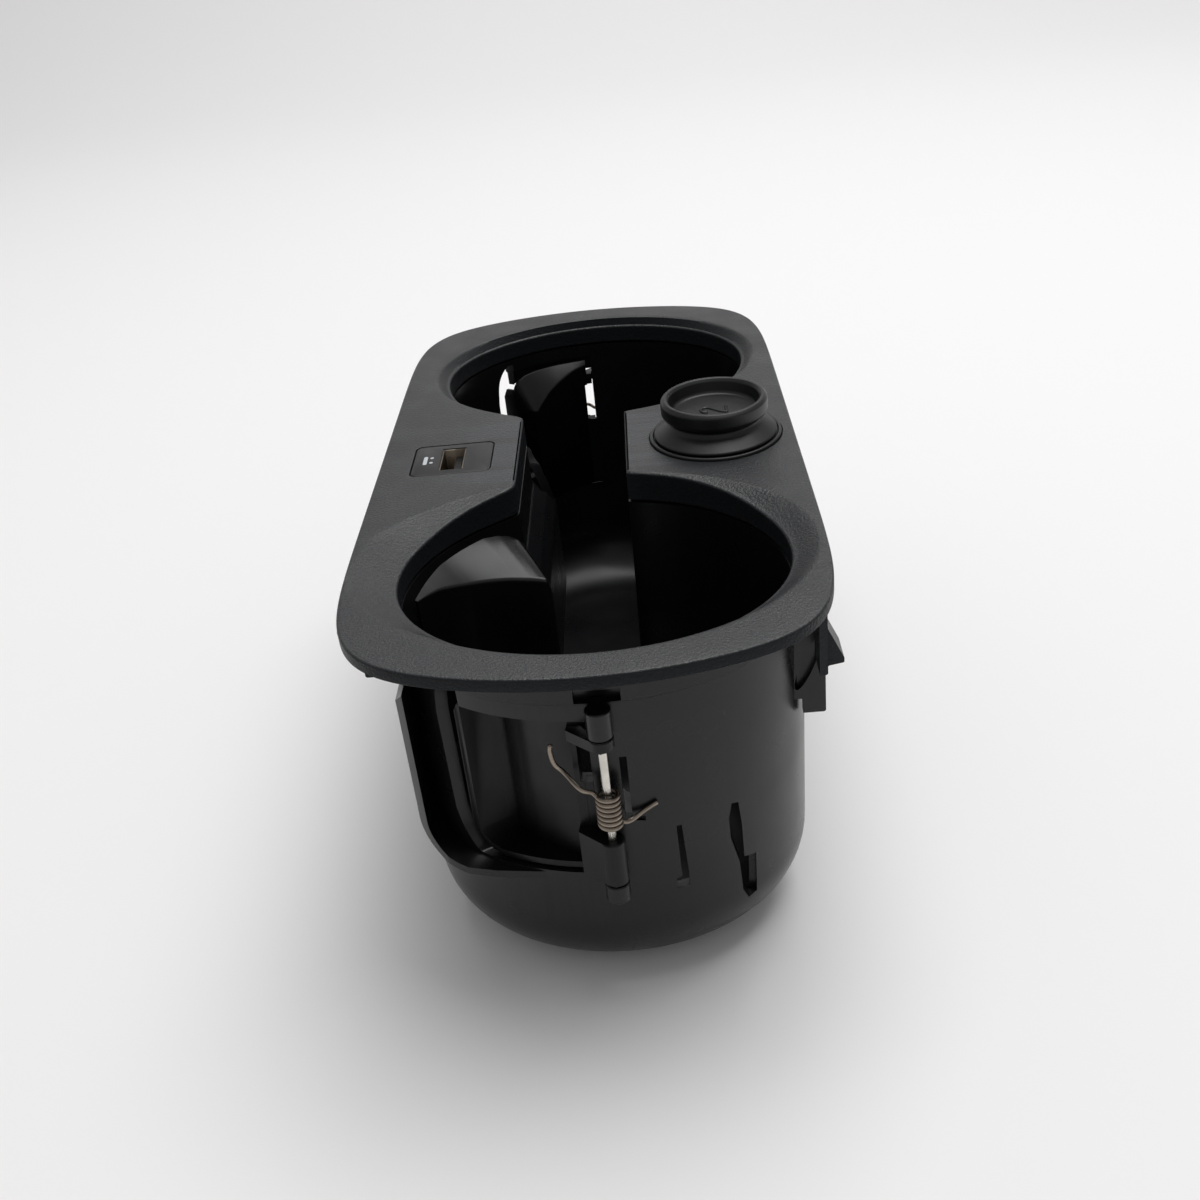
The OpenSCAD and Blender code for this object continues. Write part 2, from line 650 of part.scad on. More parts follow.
function tube_ring(path, i, r, sides) = let (d = path_dir(path, i),
    u = unit(cross(d, abs(d[2]) > 0.9 ? [1, 0, 0] : [0, 0, 1])), v = cross(d, u))
    [for (k = [0 : sides - 1]) let (a = 360 * k / sides) path[i] + r * (cos(a) * u + sin(a) * v)];
module torsion_spring() {
    capped_loft([for (i = [len(spring_path) - 1 : -1 : 0])
        tube_ring(spring_path, i, wire_d / 2, spring_sides)]);
}
module spring_front() {
    color("#a89f93") at_front_well() torsion_spring();
}
module spring_rear() {
    color("#a89f93") at_rear_well() torsion_spring();
}

// Charging port in the left island
module rounded_plate(w, l, t, r) {
    linear_extrude(height = t) offset(r = r) square([w - 2 * r, l - 2 * r], center = true);
}
shell_t = 0.35;
module at_port(drop) {
    translate([-port_x, -port_y, deck_h - drop]) children();
}
module port_plate() {
    color("#3a3d40") at_port(plate_recess) difference() {
        rounded_plate(port_plate_w, port_plate_l, plate_recess, 2);
        translate([-port_w / 2 - shell_t, -port_l / 2 - shell_t, -1])
            cube([port_w + 2 * shell_t, port_l + 2 * shell_t, plate_recess + 2]);
    }
}
module port_shell() {
    color("#b59a72") at_port(port_depth) difference() {
        translate([-port_w / 2 - shell_t, -port_l / 2 - shell_t, 0])
            cube([port_w + 2 * shell_t, port_l + 2 * shell_t, port_depth - 0.2]);
        translate([-port_w / 2, -port_l / 2, 1])
            cube([port_w, port_l, port_depth]);
    }
}
tongue_w = 1.9;
tongue_l = 11.4;
tongue_x = 1.1;
module port_tongue() {
    color("#151515") at_port(port_depth - 1)
        translate([tongue_x - tongue_w / 2, -tongue_l / 2, 0])
            cube([tongue_w, tongue_l, port_depth - 3.2]);
}
module port_contacts() {
    contact_pitch = 2.5;
    color("#c9a24a") at_port(port_depth - 2) for (k = [-1.5, -0.5, 0.5, 1.5])
        translate([tongue_x - tongue_w / 2 - 0.2, k * contact_pitch - 0.5, 0])
            cube([0.2, 1, port_depth - 5]);
}
port_house_w = 13;
port_house_l = 18;
port_house_end = 30;
module port_housing() {
    color("#17181a") at_port(port_house_end) difference() {
        union() {
            translate([-port_house_w / 2, -port_house_l / 2, 0])
                cube([port_house_w, port_house_l, port_house_end - bezel_t - dish_drop]);
            translate([-port_w, -port_l / 2 - 1.2, 0])
                cube([2 * port_w, port_l + 2.4, port_house_end - plate_recess]);
        }
        translate([-port_w / 2 - shell_t, -port_l / 2 - shell_t, port_house_end - port_depth])
            cube([port_w + 2 * shell_t, port_l + 2 * shell_t, port_house_end]);
        translate([-port_house_w / 2 + 1.5, -port_house_l / 2 + 1.5, -1])
            cube([port_house_w - 3, port_house_l - 3, 9]);
    }
}
module port_terminals() {
    color("#c9c4b8") at_port(port_house_end - 8) for (k = [-1.5, -0.5, 0.5, 1.5])
        translate([-0.3, k * 3 - 0.3, -6]) cube([0.6, 0.6, 6]);
}

// Power socket in the right island
module at_socket(drop) {
    translate([socket_x, -socket_y, deck_h - drop]) children();
}
ring_rise = 0.7;
module socket_ring() {
    color("#3c3f42") at_socket(socket_seat) rotate_extrude($fn = 72)
        polygon([[housing_d / 2 + fit_gap, 0], [ring_d / 2, 0], [ring_d / 2, socket_seat],
            [ring_d / 2 - ring_rise, socket_seat + ring_rise],
            [housing_d / 2 + 2, socket_seat + ring_rise],
            [housing_d / 2 + fit_gap, socket_seat]]);
}
housing_id = barrel_id + 2 * barrel_t;
module socket_housing() {
    color("#17181a") at_socket(housing_l) rotate_extrude($fn = round_fn)
        polygon([[0, 0], [housing_d / 2 - 1, 0], [housing_d / 2, 1],
            [housing_d / 2, housing_l - 0.5], [housing_id / 2, housing_l - 0.5],
            [housing_id / 2, 3], [0, 3]]);
}
module socket_barrel() {
    color("#b9bcc0") at_socket(housing_l - 3) difference() {
        cylinder(d = housing_id, h = housing_l - 3.5, $fn = round_fn);
        translate([0, 0, -1]) cylinder(d = barrel_id, h = housing_l, $fn = round_fn);
    }
}
insulator_t = 2;
module socket_insulator() {
    color("#e8e2d2") at_socket(housing_l - 3)
        cylinder(d = barrel_id - fit_gap, h = insulator_t, $fn = round_fn);
}
module socket_contact() {
    color("#c8a95a") at_socket(housing_l - 3 - insulator_t) {
        cylinder(d = 8, h = 1, $fn = round_fn);
        translate([0, 0, 1 - eps]) cylinder(d = 4, h = 2, $fn = round_fn);
    }
}
module socket_terminals() {
    color("#c9c4b8") at_socket(housing_l) for (x = [-6, 6])
        translate([x - 0.4, -3.15, -9]) cube([0.8, 6.3, 9]);
}

// Cap: a plug in the barrel, a cone over the ring, a neck and a dished rim
cap_neck_d = cap_d - 4.2;
cap_base_d = ring_d - 2.6;
plug_d = barrel_id - 0.4;
plug_l = 14;
rim_t = 2.4;
module socket_cap() {
    color("#2b2d2f") at_socket(0) rotate_extrude($fn = 72)
        polygon([[0, -plug_l], [plug_d / 2 - 1, -plug_l], [plug_d / 2, -plug_l + 1],
            [plug_d / 2, ring_rise + 0.1], [cap_base_d / 2, ring_rise + 0.1],
            [cap_base_d / 2, 1.4], [cap_neck_d / 2 + 1, 4.6], [cap_neck_d / 2, 6],
            [cap_d / 2, cap_h - 3.2], [cap_d / 2, cap_h - 0.8], [cap_d / 2 - 0.8, cap_h],
            [cap_d / 2 - rim_t + 0.6, cap_h], [cap_d / 2 - rim_t, cap_h - 0.8],
            [cap_d / 2 - rim_t - 0.6, cap_h - 3.4], [0, cap_h - 3.4]]);
}

screw_head_d = 6;
screw_head_h = 2;
module tub_screws() {
    color("#3b3b3d") at_ears() translate([0, 0, -ear_drop - ear_t - screw_head_h]) {
        cylinder(d = screw_head_d, h = screw_head_h, $fn = round_fn);
        cylinder(d = screw_d, h = screw_head_h + screw_l - bezel_t - 1, $fn = round_fn);
    }
}

bezel();
cup_tub();
flap_front();
flap_rear();
pin_front();
pin_rear();
spring_front();
spring_rear();
port_plate();
port_shell();
port_tongue();
port_contacts();
port_housing();
port_terminals();
socket_ring();
socket_barrel();
socket_housing();
socket_contact();
socket_insulator();
socket_terminals();
socket_cap();
tub_screws();
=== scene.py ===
"""Looks of the twin cup holder insert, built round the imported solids.

X runs across the bezel, Y along it and Z up out of the wells. Lengths are written in
millimetres and turned to metres where a mesh is made.
"""

import math

import bmesh
import bpy
import numpy as np
from mathutils import Matrix, Vector


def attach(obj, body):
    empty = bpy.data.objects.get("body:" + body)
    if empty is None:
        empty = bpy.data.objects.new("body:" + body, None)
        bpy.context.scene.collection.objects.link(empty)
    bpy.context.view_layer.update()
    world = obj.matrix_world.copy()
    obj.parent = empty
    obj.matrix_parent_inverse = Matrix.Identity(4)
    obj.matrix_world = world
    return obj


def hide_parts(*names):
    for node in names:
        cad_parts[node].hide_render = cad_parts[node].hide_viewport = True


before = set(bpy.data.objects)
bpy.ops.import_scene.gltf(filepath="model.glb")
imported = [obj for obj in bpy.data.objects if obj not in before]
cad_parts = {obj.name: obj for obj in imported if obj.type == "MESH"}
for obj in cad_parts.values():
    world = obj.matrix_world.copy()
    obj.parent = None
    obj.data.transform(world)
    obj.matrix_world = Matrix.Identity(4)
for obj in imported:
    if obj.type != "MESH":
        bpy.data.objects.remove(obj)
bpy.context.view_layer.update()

MM = 0.001
SHARP = math.radians(32)

# Height of the bezel face above the floor that the tub stands on
DECK = 98.0


# Materials


def linear(hex_colour):
    """An sRGB hex colour as linear red, green, blue and alpha."""
    channels = [int(hex_colour[k : k + 2], 16) / 255 for k in (1, 3, 5)]
    return (
        *[c / 12.92 if c <= 0.04045 else ((c + 0.055) / 1.055) ** 2.4 for c in channels],
        1.0,
    )


def add(tree, kind, values=None, links=None, **settings):
    """Adds one node with its settings, its socket values and the sockets that feed it."""
    made = tree.nodes.new(kind)
    for name, value in settings.items():
        setattr(made, name, value)
    for name, value in (values or {}).items():
        made.inputs[name].default_value = value
    for name, source in (links or {}).items():
        tree.links.new(source, made.inputs[name])
    return made


def new_material(name):
    """An empty node material with its output and object coordinates."""
    material = bpy.data.materials.new(name)
    material.use_nodes = True
    tree = material.node_tree
    tree.nodes.clear()
    output = add(tree, "ShaderNodeOutputMaterial")
    where = add(tree, "ShaderNodeTexCoord").outputs["Object"]
    return material, tree, output, where


def moulded_plastic(
    name,
    colour,
    scuffed,
    rough,
    grain_mm,
    grain_depth_mm,
    rough_spread=0.06,
    shine=0.5,
    painted_shade_shine=None,
):
    """Moulded plastic: an eroded grain, patches where it was handled, and rubbed edges. A shine
    given for the sides lowers the shine of faces that don't look up, as painted shade."""
    material, tree, output, where = new_material(name)
    grain = add(
        tree,
        "ShaderNodeTexNoise",
        {"Scale": 1 / (grain_mm * MM), "Detail": 3.0, "Roughness": 0.6},
        {"Vector": where},
    )
    # Patches of about 14 mm where hands and the tool polish have changed the gloss
    patches = add(
        tree,
        "ShaderNodeTexNoise",
        {"Scale": 1 / (14 * MM), "Detail": 2.0},
        {"Vector": where},
    )
    gloss = add(
        tree,
        "ShaderNodeMapRange",
        {
            "From Min": 0.3,
            "From Max": 0.7,
            "To Min": rough - rough_spread,
            "To Max": rough + rough_spread,
        },
        {"Value": patches.outputs["Fac"]},
    )
    surface = add(tree, "ShaderNodeNewGeometry")
    rubbed = add(
        tree,
        "ShaderNodeMapRange",
        {"From Min": 0.53, "From Max": 0.62, "To Min": 0.0, "To Max": 0.5},
        {"Value": surface.outputs["Pointiness"]},
    )
    tint = add(
        tree,
        "ShaderNodeMix",
        {6: linear(colour), 7: linear(scuffed)},
        {0: rubbed.outputs["Result"]},
        data_type="RGBA",
    )
    bump = add(
        tree,
        "ShaderNodeBump",
        {"Strength": 0.6, "Distance": grain_depth_mm * MM},
        {"Height": grain.outputs["Fac"]},
    )
    shader = add(
        tree,
        "ShaderNodeBsdfPrincipled",
        {"IOR": 1.5, "Specular IOR Level": shine},
        {
            "Base Color": tint.outputs[2],
            "Roughness": gloss.outputs["Result"],
            "Normal": bump.outputs["Normal"],
        },
    )
    if painted_shade_shine is not None:
        # Painted shade: faces that don't look up get a lower shine, so the sides read darker
        # than the top
        facing = add(tree, "ShaderNodeSeparateXYZ", links={"Vector": surface.outputs["Normal"]})
        painted_side_shade = add(
            tree,
            "ShaderNodeMapRange",
            {"From Min": 0.3, "From Max": 0.95, "To Min": painted_shade_shine, "To Max": shine},
            {"Value": facing.outputs["Z"]},
        )
        tree.links.new(painted_side_shade.outputs["Result"], shader.inputs["Specular IOR Level"])
    tree.links.new(shader.outputs[0], output.inputs["Surface"])
    return material


def drawn_metal(name, colour, dark, rough, along, line_mm):
    """Drawn or plated metal: fine lines along one axis, with darker tarnish in patches."""
    material, tree, output, where = new_material(name)
    stretch = [1 / (line_mm * MM)] * 3
    stretch[along] = 1 / (20 * line_mm * MM)
    lines_place = add(
        tree, "ShaderNodeMapping", {"Scale": stretch}, {"Vector": where}
    ).outputs["Vector"]
    lines = add(
        tree, "ShaderNodeTexNoise", {"Scale": 1.0, "Detail": 2.0}, {"Vector": lines_place}
    )
    tarnish = add(
        tree, "ShaderNodeTexNoise", {"Scale": 1 / (2.5 * MM), "Detail": 3.0}, {"Vector": where}
    )
    tint = add(
        tree,
        "ShaderNodeMix",
        {6: linear(colour), 7: linear(dark)},
        {0: tarnish.outputs["Fac"]},
        data_type="RGBA",
    )
    gloss = add(
        tree,
        "ShaderNodeMapRange",
        {"To Min": rough - 0.08, "To Max": rough + 0.08},
        {"Value": lines.outputs["Fac"]},
    )
    bump = add(
        tree,
        "ShaderNodeBump",
        {"Strength": 0.25, "Distance": 0.02 * MM},
        {"Height": lines.outputs["Fac"]},
    )
    shader = add(
        tree,
        "ShaderNodeBsdfPrincipled",
        {"Metallic": 1.0},
        {
            "Base Color": tint.outputs[2],
            "Roughness": gloss.outputs["Result"],
            "Normal": bump.outputs["Normal"],
        },
    )
    tree.links.new(shader.outputs[0], output.inputs["Surface"])
    return material


# Spark-eroded ABS: a fine even grain that scatters light, so the face reads as matte dark grey
# Its sides carry painted shade: faces that don't look up shine less than its top
GRAINED_ABS = moulded_plastic(
    "grained_abs_dark_grey", "#1c1e20", "#36393c", 0.4, 0.7, 0.45, shine=0.56, painted_shade_shine=0.1
)
# Plain moulded ABS of the tub: nearly black, glossy, with faint flow and handling marks
GLOSSY_ABS = moulded_plastic(
    "glossy_abs_black", "#0e0e10", "#17181a", 0.3, 6.0, 0.02, shine=0.36, rough_spread=0.05
)
# Moulded nylon of the flaps: the same black with a little less gloss
SATIN_NYLON = moulded_plastic(
    "satin_nylon_black", "#070708", "#141517", 0.36, 3.0, 0.02, shine=0.28
)
# Soft-touch rubber skin of the cap, its ring and the port plate: satin black, no grain
SATIN_RUBBER = moulded_plastic("satin_rubber_black", "#090a0b", "#1a1b1d", 0.42, 0.8, 0.02)
# Bright drawn steel of the pins: pale, with fine lines along their length
DRAWN_STEEL = drawn_metal("drawn_steel_bright", "#e6e3dc", "#b9b5ac", 0.24, 2, 0.15)
# Patented spring wire: warm grey with brown tarnish
SPRING_WIRE = drawn_metal("spring_wire_warm_grey", "#a79c8f", "#6f655b", 0.34, 2, 0.2)
# Tinned and lacquered sheet of the port shell: warm grey, dulled in patches
PLATED_SHEET = drawn_metal("plated_sheet_warm", "#a3998a", "#5f564a", 0.3, 1, 0.2)
# Nickel plating inside the barrel: cool, bright, with fine lines along the bore
NICKEL = drawn_metal("nickel_plate", "#c3c5c8", "#8d8f92", 0.25, 2, 0.2)
# Rolled brass of the contacts: yellow, with faint rolling lines
BRASS = drawn_metal("rolled_brass", "#dcb978", "#a5824a", 0.28, 1, 0.2)
# Pressed board insulator, pale and dull
PRESSED_BOARD = moulded_plastic("pressed_board_pale", "#e0d8c3", "#efe9da", 0.8, 0.5, 0.05)
# Pale pad-printed ink, duller than the plate under it
PALE_INK = moulded_plastic("pale_ink_print", "#b9bec2", "#c6cbce", 0.6, 0.3, 0.005)
# Black oxide on the steel screws: dark grey with a dull gleam
BLACK_OXIDE = drawn_metal("black_oxide_steel", "#2c2c2e", "#1a1a1b", 0.4, 2, 0.3)

# Meshes and their finishing


def finish_mesh(name, mesh, material, body, replaced=(), sharp=SHARP):
    """Links a mesh as an object, gives it its shading, material and body."""
    mesh.validate()
    mesh.shade_smooth()
    mesh.set_sharp_from_angle(angle=sharp)
    mesh.materials.clear()
    mesh.materials.append(material)
    thing = bpy.data.objects.new(name, mesh)
    bpy.context.scene.collection.objects.link(thing)
    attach(thing, body)
    if replaced:
        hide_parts(*replaced)
    return thing


def merged_copy(node):
    """The node's own triangles with their shared corners joined, as a new mesh."""
    shell = bmesh.new()
    shell.from_mesh(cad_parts[node].data)
    bmesh.ops.remove_doubles(shell, verts=shell.verts, dist=0.002 * MM)
    mesh = bpy.data.meshes.new(node + "_looks")
    shell.to_mesh(mesh)
    shell.free()
    return mesh


def dress(node, material, rounding_mm):
    """A smooth-shaded copy of a node of the holder, its edges broken by a small rounding."""
    thing = finish_mesh(
        node + "_looks", merged_copy(node), material, "holder", (node,)
    )
    if rounding_mm:
        rounding = thing.modifiers.new("broken_edges", "BEVEL")
        rounding.width = rounding_mm * MM
        rounding.segments = 2
        rounding.limit_method = "ANGLE"
        rounding.angle_limit = SHARP
        rounding.harden_normals = False


# Plans of the openings and of the bezel

# Centre of a well, its half width, and its half length towards the end and the channel
WELL_X, WELL_Y = 2.0, 64.2
WELL_RX, WELL_OUT, WELL_IN = 45.6, 38.4, 44.0
# Reach of the channel to each side, and the power of the mean that blends it with a well
CHANNEL_LEFT, CHANNEL_RIGHT, BLEND = 20.2, 8.6, 7.0
# Half width and half length of the bezel, radius of its ends, power of its rounded square
HALF_W, HALF_L, BULGE_R, SQUARE = 56.2, 114.2, 105.0, 8.5
# Points along each half well and along each long side
END_N, SIDE_N = 180, 170


def opening_loop():
    """Plan of the openings: half ellipses at the ends, and between them the larger of the
    inner half ellipse and the channel, blended by a high power mean."""
    share = np.arange(END_N) / END_N
    along = -WELL_Y + 2 * WELL_Y * np.arange(SIDE_N) / SIDE_N

    def reach(y, channel):
        u = np.clip((WELL_Y - np.abs(y)) / WELL_IN, 0, 1)
        well = WELL_RX * np.sqrt(1 - u * u)
        return (well**BLEND + channel**BLEND) ** (1 / BLEND)

    right = np.stack([WELL_X + reach(along, CHANNEL_RIGHT), along], 1)
    left = np.stack([WELL_X - reach(-along, CHANNEL_LEFT), -along], 1)
    rear = np.stack(
        [
            WELL_X + WELL_RX * np.cos(math.pi * share),
            WELL_Y + WELL_OUT * np.sin(math.pi * share),
        ],
        1,
    )
    front = np.stack(
        [
            WELL_X - WELL_RX * np.cos(math.pi * share),
            -WELL_Y - WELL_OUT * np.sin(math.pi * share),
        ],
        1,
    )
    return np.concatenate([right, rear, left, front])


def outline_loop():
    """Plan of the bezel: a rounded square stretched in length, its ends bulged by an arc."""
    end_height = HALF_L - HALF_W**2 / (2 * BULGE_R)
    turn = math.atan(WELL_Y / end_height)
    share = np.arange(END_N) / END_N
    along = -WELL_Y + 2 * WELL_Y * np.arange(SIDE_N) / SIDE_N
    sweep = turn + (math.pi - 2 * turn) * share
    angle = np.concatenate(
        [
            np.arctan(along / end_height),
            sweep,
            math.pi - np.arctan(-along / end_height),
            math.pi + sweep,
        ]
    )
    c, s = np.cos(angle), np.sin(angle)
    radius = (np.abs(c) ** SQUARE + np.abs(s) ** SQUARE) ** (-1 / SQUARE)
    x = HALF_W * radius * c
    return np.stack([x, (HALF_L - x * x / (2 * BULGE_R)) * radius * s], 1)


def outward(loop):
    """Unit normal of a closed counter-clockwise loop, from the points two steps either side."""
    step = np.roll(loop, -2, 0) - np.roll(loop, 2, 0)
    step /= np.linalg.norm(step, axis=1, keepdims=True)
    return np.stack([step[:, 1], -step[:, 0]], 1)


OPENING, OUTLINE = opening_loop(), outline_loop()
OPENING_OUT, OUTLINE_OUT = outward(OPENING), outward(OUTLINE)


def at_drop(loop, drop):
    """A plan loop set at a depth below the bezel face; the depth may differ by point."""
    return np.column_stack([loop, DECK - np.broadcast_to(drop, len(loop))])


def grown(loop, normals, by):
    """A loop moved outward; the distance may differ by point."""
    return loop + normals * np.broadcast_to(by, len(loop))[:, None]


def strip_faces(rows, cols, closed_rows=False):
    """Quads of a grid whose columns close on themselves, and its rows too if asked."""
    r = np.arange(rows if closed_rows else rows - 1)[:, None]
    c = np.arange(cols)[None, :]
    a, b = r * cols, ((r + 1) % rows) * cols
    n = (c + 1) % cols
    quads = np.stack([a + c, b + c, b + n, a + n], -1)
    return quads.reshape(-1, 4).tolist()


def loft(rings):
    """Skin through rings of equal length, closed by a flat face over each end ring."""
    rings = np.asarray(rings, float)
    rows, cols = rings.shape[:2]
    ends = [list(range(cols)), list(range((rows - 1) * cols, rows * cols))[::-1]]
    return rings.reshape(-1, 3), strip_faces(rows, cols) + ends


def outwards(mesh):
    """Turns every face of a closed mesh outwards."""
    shell = bmesh.new()
    shell.from_mesh(mesh)
    bmesh.ops.remove_doubles(shell, verts=shell.verts, dist=0.001 * MM)
    bmesh.ops.recalc_face_normals(shell, faces=shell.faces)
    shell.to_mesh(mesh)
    shell.free()


def solid(name, vertices, faces):
    """A closed solid in its own object, with its faces turned outwards."""
    mesh = bpy.data.meshes.new(name)
    mesh.from_pydata((np.asarray(vertices, float) * MM).tolist(), [], faces)
    outwards(mesh)
    thing = bpy.data.objects.new(name, mesh)
    bpy.context.scene.collection.objects.link(thing)
    return thing


def carved(base, cutters, joined=(), shared=()):
    """The mesh of a base solid after others are joined to it, cutters are taken away and
    only what it shares with the last group is kept."""
    steps = (("UNION", joined), ("DIFFERENCE", cutters), ("INTERSECT", shared))
    for operation, others in steps:
        for other in others:
            step = base.modifiers.new(other.name, "BOOLEAN")
            step.operation = operation
            step.solver = "EXACT"
            step.object = other
    ready = base.evaluated_get(bpy.context.evaluated_depsgraph_get())
    mesh = bpy.data.meshes.new_from_object(ready)
    for used in (base, *cutters, *joined, *shared):
        bpy.data.objects.remove(used)
    return mesh


def flipped(vertices):
    """Points of the front well mirrored to the rear one."""
    return np.asarray(vertices, float) * [1, -1, 1]


def box_solid(name, low, high):
    """A straight block between two corners, in millimetres."""
    low, high = np.array(low, float), np.array(high, float)
    loop = np.array([[0, 0], [1, 0], [1, 1], [0, 1]])
    rings = [np.column_stack([loop, np.full(4, k)]) * (high - low) + low for k in (0, 1)]
    return solid(name, *loft(rings))


def circle(sides):
    """Points of the unit circle at even angles."""
    turn = np.linspace(0, 2 * math.pi, sides, endpoint=False)
    return np.stack([np.cos(turn), np.sin(turn)], 1)


def lathe(profile, centre):
    """A profile of radius and height turned about an upright axis through the centre: each
    pair becomes a circle of that radius at that height."""
    angle = np.linspace(0, 2 * math.pi, RING_SIDES, endpoint=False)
    profile = np.asarray(profile, float)
    rings = [
        np.stack(
            [
                centre[0] + radius * np.cos(angle),
                centre[1] + radius * np.sin(angle),
                np.full(RING_SIDES, height),
            ],
            1,
        )
        for radius, height in profile
    ]
    return np.concatenate(rings), strip_faces(len(profile), RING_SIDES)


def rounded(profile, radii, steps=6):
    """A profile with each inner corner replaced by an arc of the given radius, which touches
    both sides of the corner and takes less than half of the shorter one."""
    profile = np.asarray(profile, float)
    out = [profile[0]]
    for k in range(1, len(profile) - 1):
        before, at, after = profile[k - 1], profile[k], profile[k + 1]
        one, two = before - at, after - at
        len_one, len_two = np.linalg.norm(one), np.linalg.norm(two)
        one, two = one / len_one, two / len_two
        half = math.acos(np.clip(one @ two, -1, 1)) / 2
        if radii[k] <= 0 or half > 1.5:
            out.append(at)
            continue
        cut = min(radii[k] / math.tan(half), 0.48 * len_one, 0.48 * len_two)
        radius = cut * math.tan(half)
        middle = at + (one + two) / np.linalg.norm(one + two) * radius / math.sin(half)
        start, end = at + one * cut - middle, at + two * cut - middle
        turn = math.acos(np.clip(start @ end / radius**2, -1, 1))
        for f in np.linspace(0, 1, steps + 1):
            out.append(
                middle
                + (math.sin((1 - f) * turn) * start + math.sin(f * turn) * end) / math.sin(turn)
            )
    out.append(profile[-1])
    return np.array(out)


# Bezel

# Wall, depth of the skirt, depth and wall of the sleeves, room for the dish, underside
BEZEL_T, SKIRT, SLEEVE_H, SLEEVE_T, DISH, UNDER = 2.2, 3.2, 8.0, 1.3, 1.8, 0.3
# Radius of the outer edge and of the lip of the wells, fall of the band round the wells
EDGE_R, LIP_R, FALL = 0.6, 0.8, 2.5
# Small break of moulded corners
BREAK = 0.3
# Distance from the middle at which the band starts, and the length over which it grows
BAND_START, BAND_GROWTH = 20, 28
# Width of the band at the front and rear well, and what the front left adds
FRONT_BAND, REAR_BAND, LEFT_BAND = 6.0, 3.5, 5.0
# Centres of the port and the socket; width, length and thickness of the port plate
PORT = (-36.4, -2.2)
PLATE = (21.5, 19.0, 1.2)
SOCKET = (35.2, -1.0)
# Gap round the plate, corner of its seat, half width, half length and depth of its shaft
PLATE_GAP, SEAT_CORNER, PORT_SHAFT = 0.3, 2.3, (5.8, 8.05, 9.8)
# Radius and depth of the two bores for the socket
SOCKET_BORES = (("ring_seat", 18.1, 1.0), ("socket_shaft", 13.8, 9.0))
# Sides of turned and bored rounds
RING_SIDES, BORE_SIDES, ROD_SIDES = 120, 144, 48


def dish_share():
    """How far each opening point takes part in the falling band: none along the channel."""
    return np.clip((np.abs(OPENING[:, 1]) - BAND_START) / BAND_GROWTH, 0, 1)


def dish_width():
    """Width of the falling band: wide at the front well, nothing along the channel."""
    x, y = OPENING.T
    past = np.clip((np.abs(y) - WELL_Y) / WELL_OUT, 0, 1)
    slim = np.where(np.abs(y) > WELL_Y, 1 - 0.6 * past, 1.0)
    left = np.clip(-x / 25, 0, 1) * (y < 0)
    extra = LEFT_BAND * left * np.clip(1 - (past - 0.1) / 0.6, 0, 1)
    return 0.4 + dish_share() * (np.where(y < 0, FRONT_BAND, REAR_BAND) * slim + extra)


def bezel_rings():
    """Rings of the bezel skin: up the skirt, round the edge, across the face, down the dish
    and its lip, down the sleeve and back along the underside."""
    share = dish_share()
    # The ends of the band are eased so that its crease fades instead of stopping
    soft = share * share * (3 - 2 * share)
    width, fall = dish_width(), FALL * soft
    quarter = np.radians(np.linspace(0, 90, 8))
    rings = [
        at_drop(grown(OUTLINE, OUTLINE_OUT, -BREAK), SKIRT),
        at_drop(OUTLINE, SKIRT - BREAK),
    ]
    for a in quarter:
        rings.append(
            at_drop(
                grown(OUTLINE, OUTLINE_OUT, -EDGE_R * (1 - math.cos(a))),
                EDGE_R * (1 - math.sin(a)),
            )
        )
    for k in (0.35, 0.7):
        flat = grown(OUTLINE, OUTLINE_OUT, -EDGE_R) * (1 - k) + k * grown(
            OPENING, OPENING_OUT, width + 0.8
        )
        rings.append(at_drop(flat, 0))
    for out, down in ((0.8, 0.0), (0.3, 0.02), (-0.3, 0.1)):
        rings.append(at_drop(grown(OPENING, OPENING_OUT, width + out * soft), fall * down))
    for k in (0.25, 0.5, 0.75):
        out = (width - 0.3 * soft) * (1 - k) + LIP_R * k
        rings.append(at_drop(grown(OPENING, OPENING_OUT, out), fall * (0.1 + 0.9 * k)))
    for a in quarter:
        rings.append(
            at_drop(
                grown(OPENING, OPENING_OUT, LIP_R * (1 - math.sin(a))),
                fall + LIP_R * (1 - math.cos(a)),
            )
        )
    sleeve = grown(OPENING, OPENING_OUT, SLEEVE_T)
    rings += [
        at_drop(OPENING, SLEEVE_H - BREAK),
        at_drop(grown(OPENING, OPENING_OUT, BREAK), SLEEVE_H),
        at_drop(sleeve, SLEEVE_H),
        at_drop(sleeve, BEZEL_T + DISH),
        at_drop(grown(OUTLINE, OUTLINE_OUT, -BEZEL_T), BEZEL_T + UNDER),
        at_drop(grown(OUTLINE, OUTLINE_OUT, -BEZEL_T + 0.1), SKIRT),
    ]
    return np.array(rings)


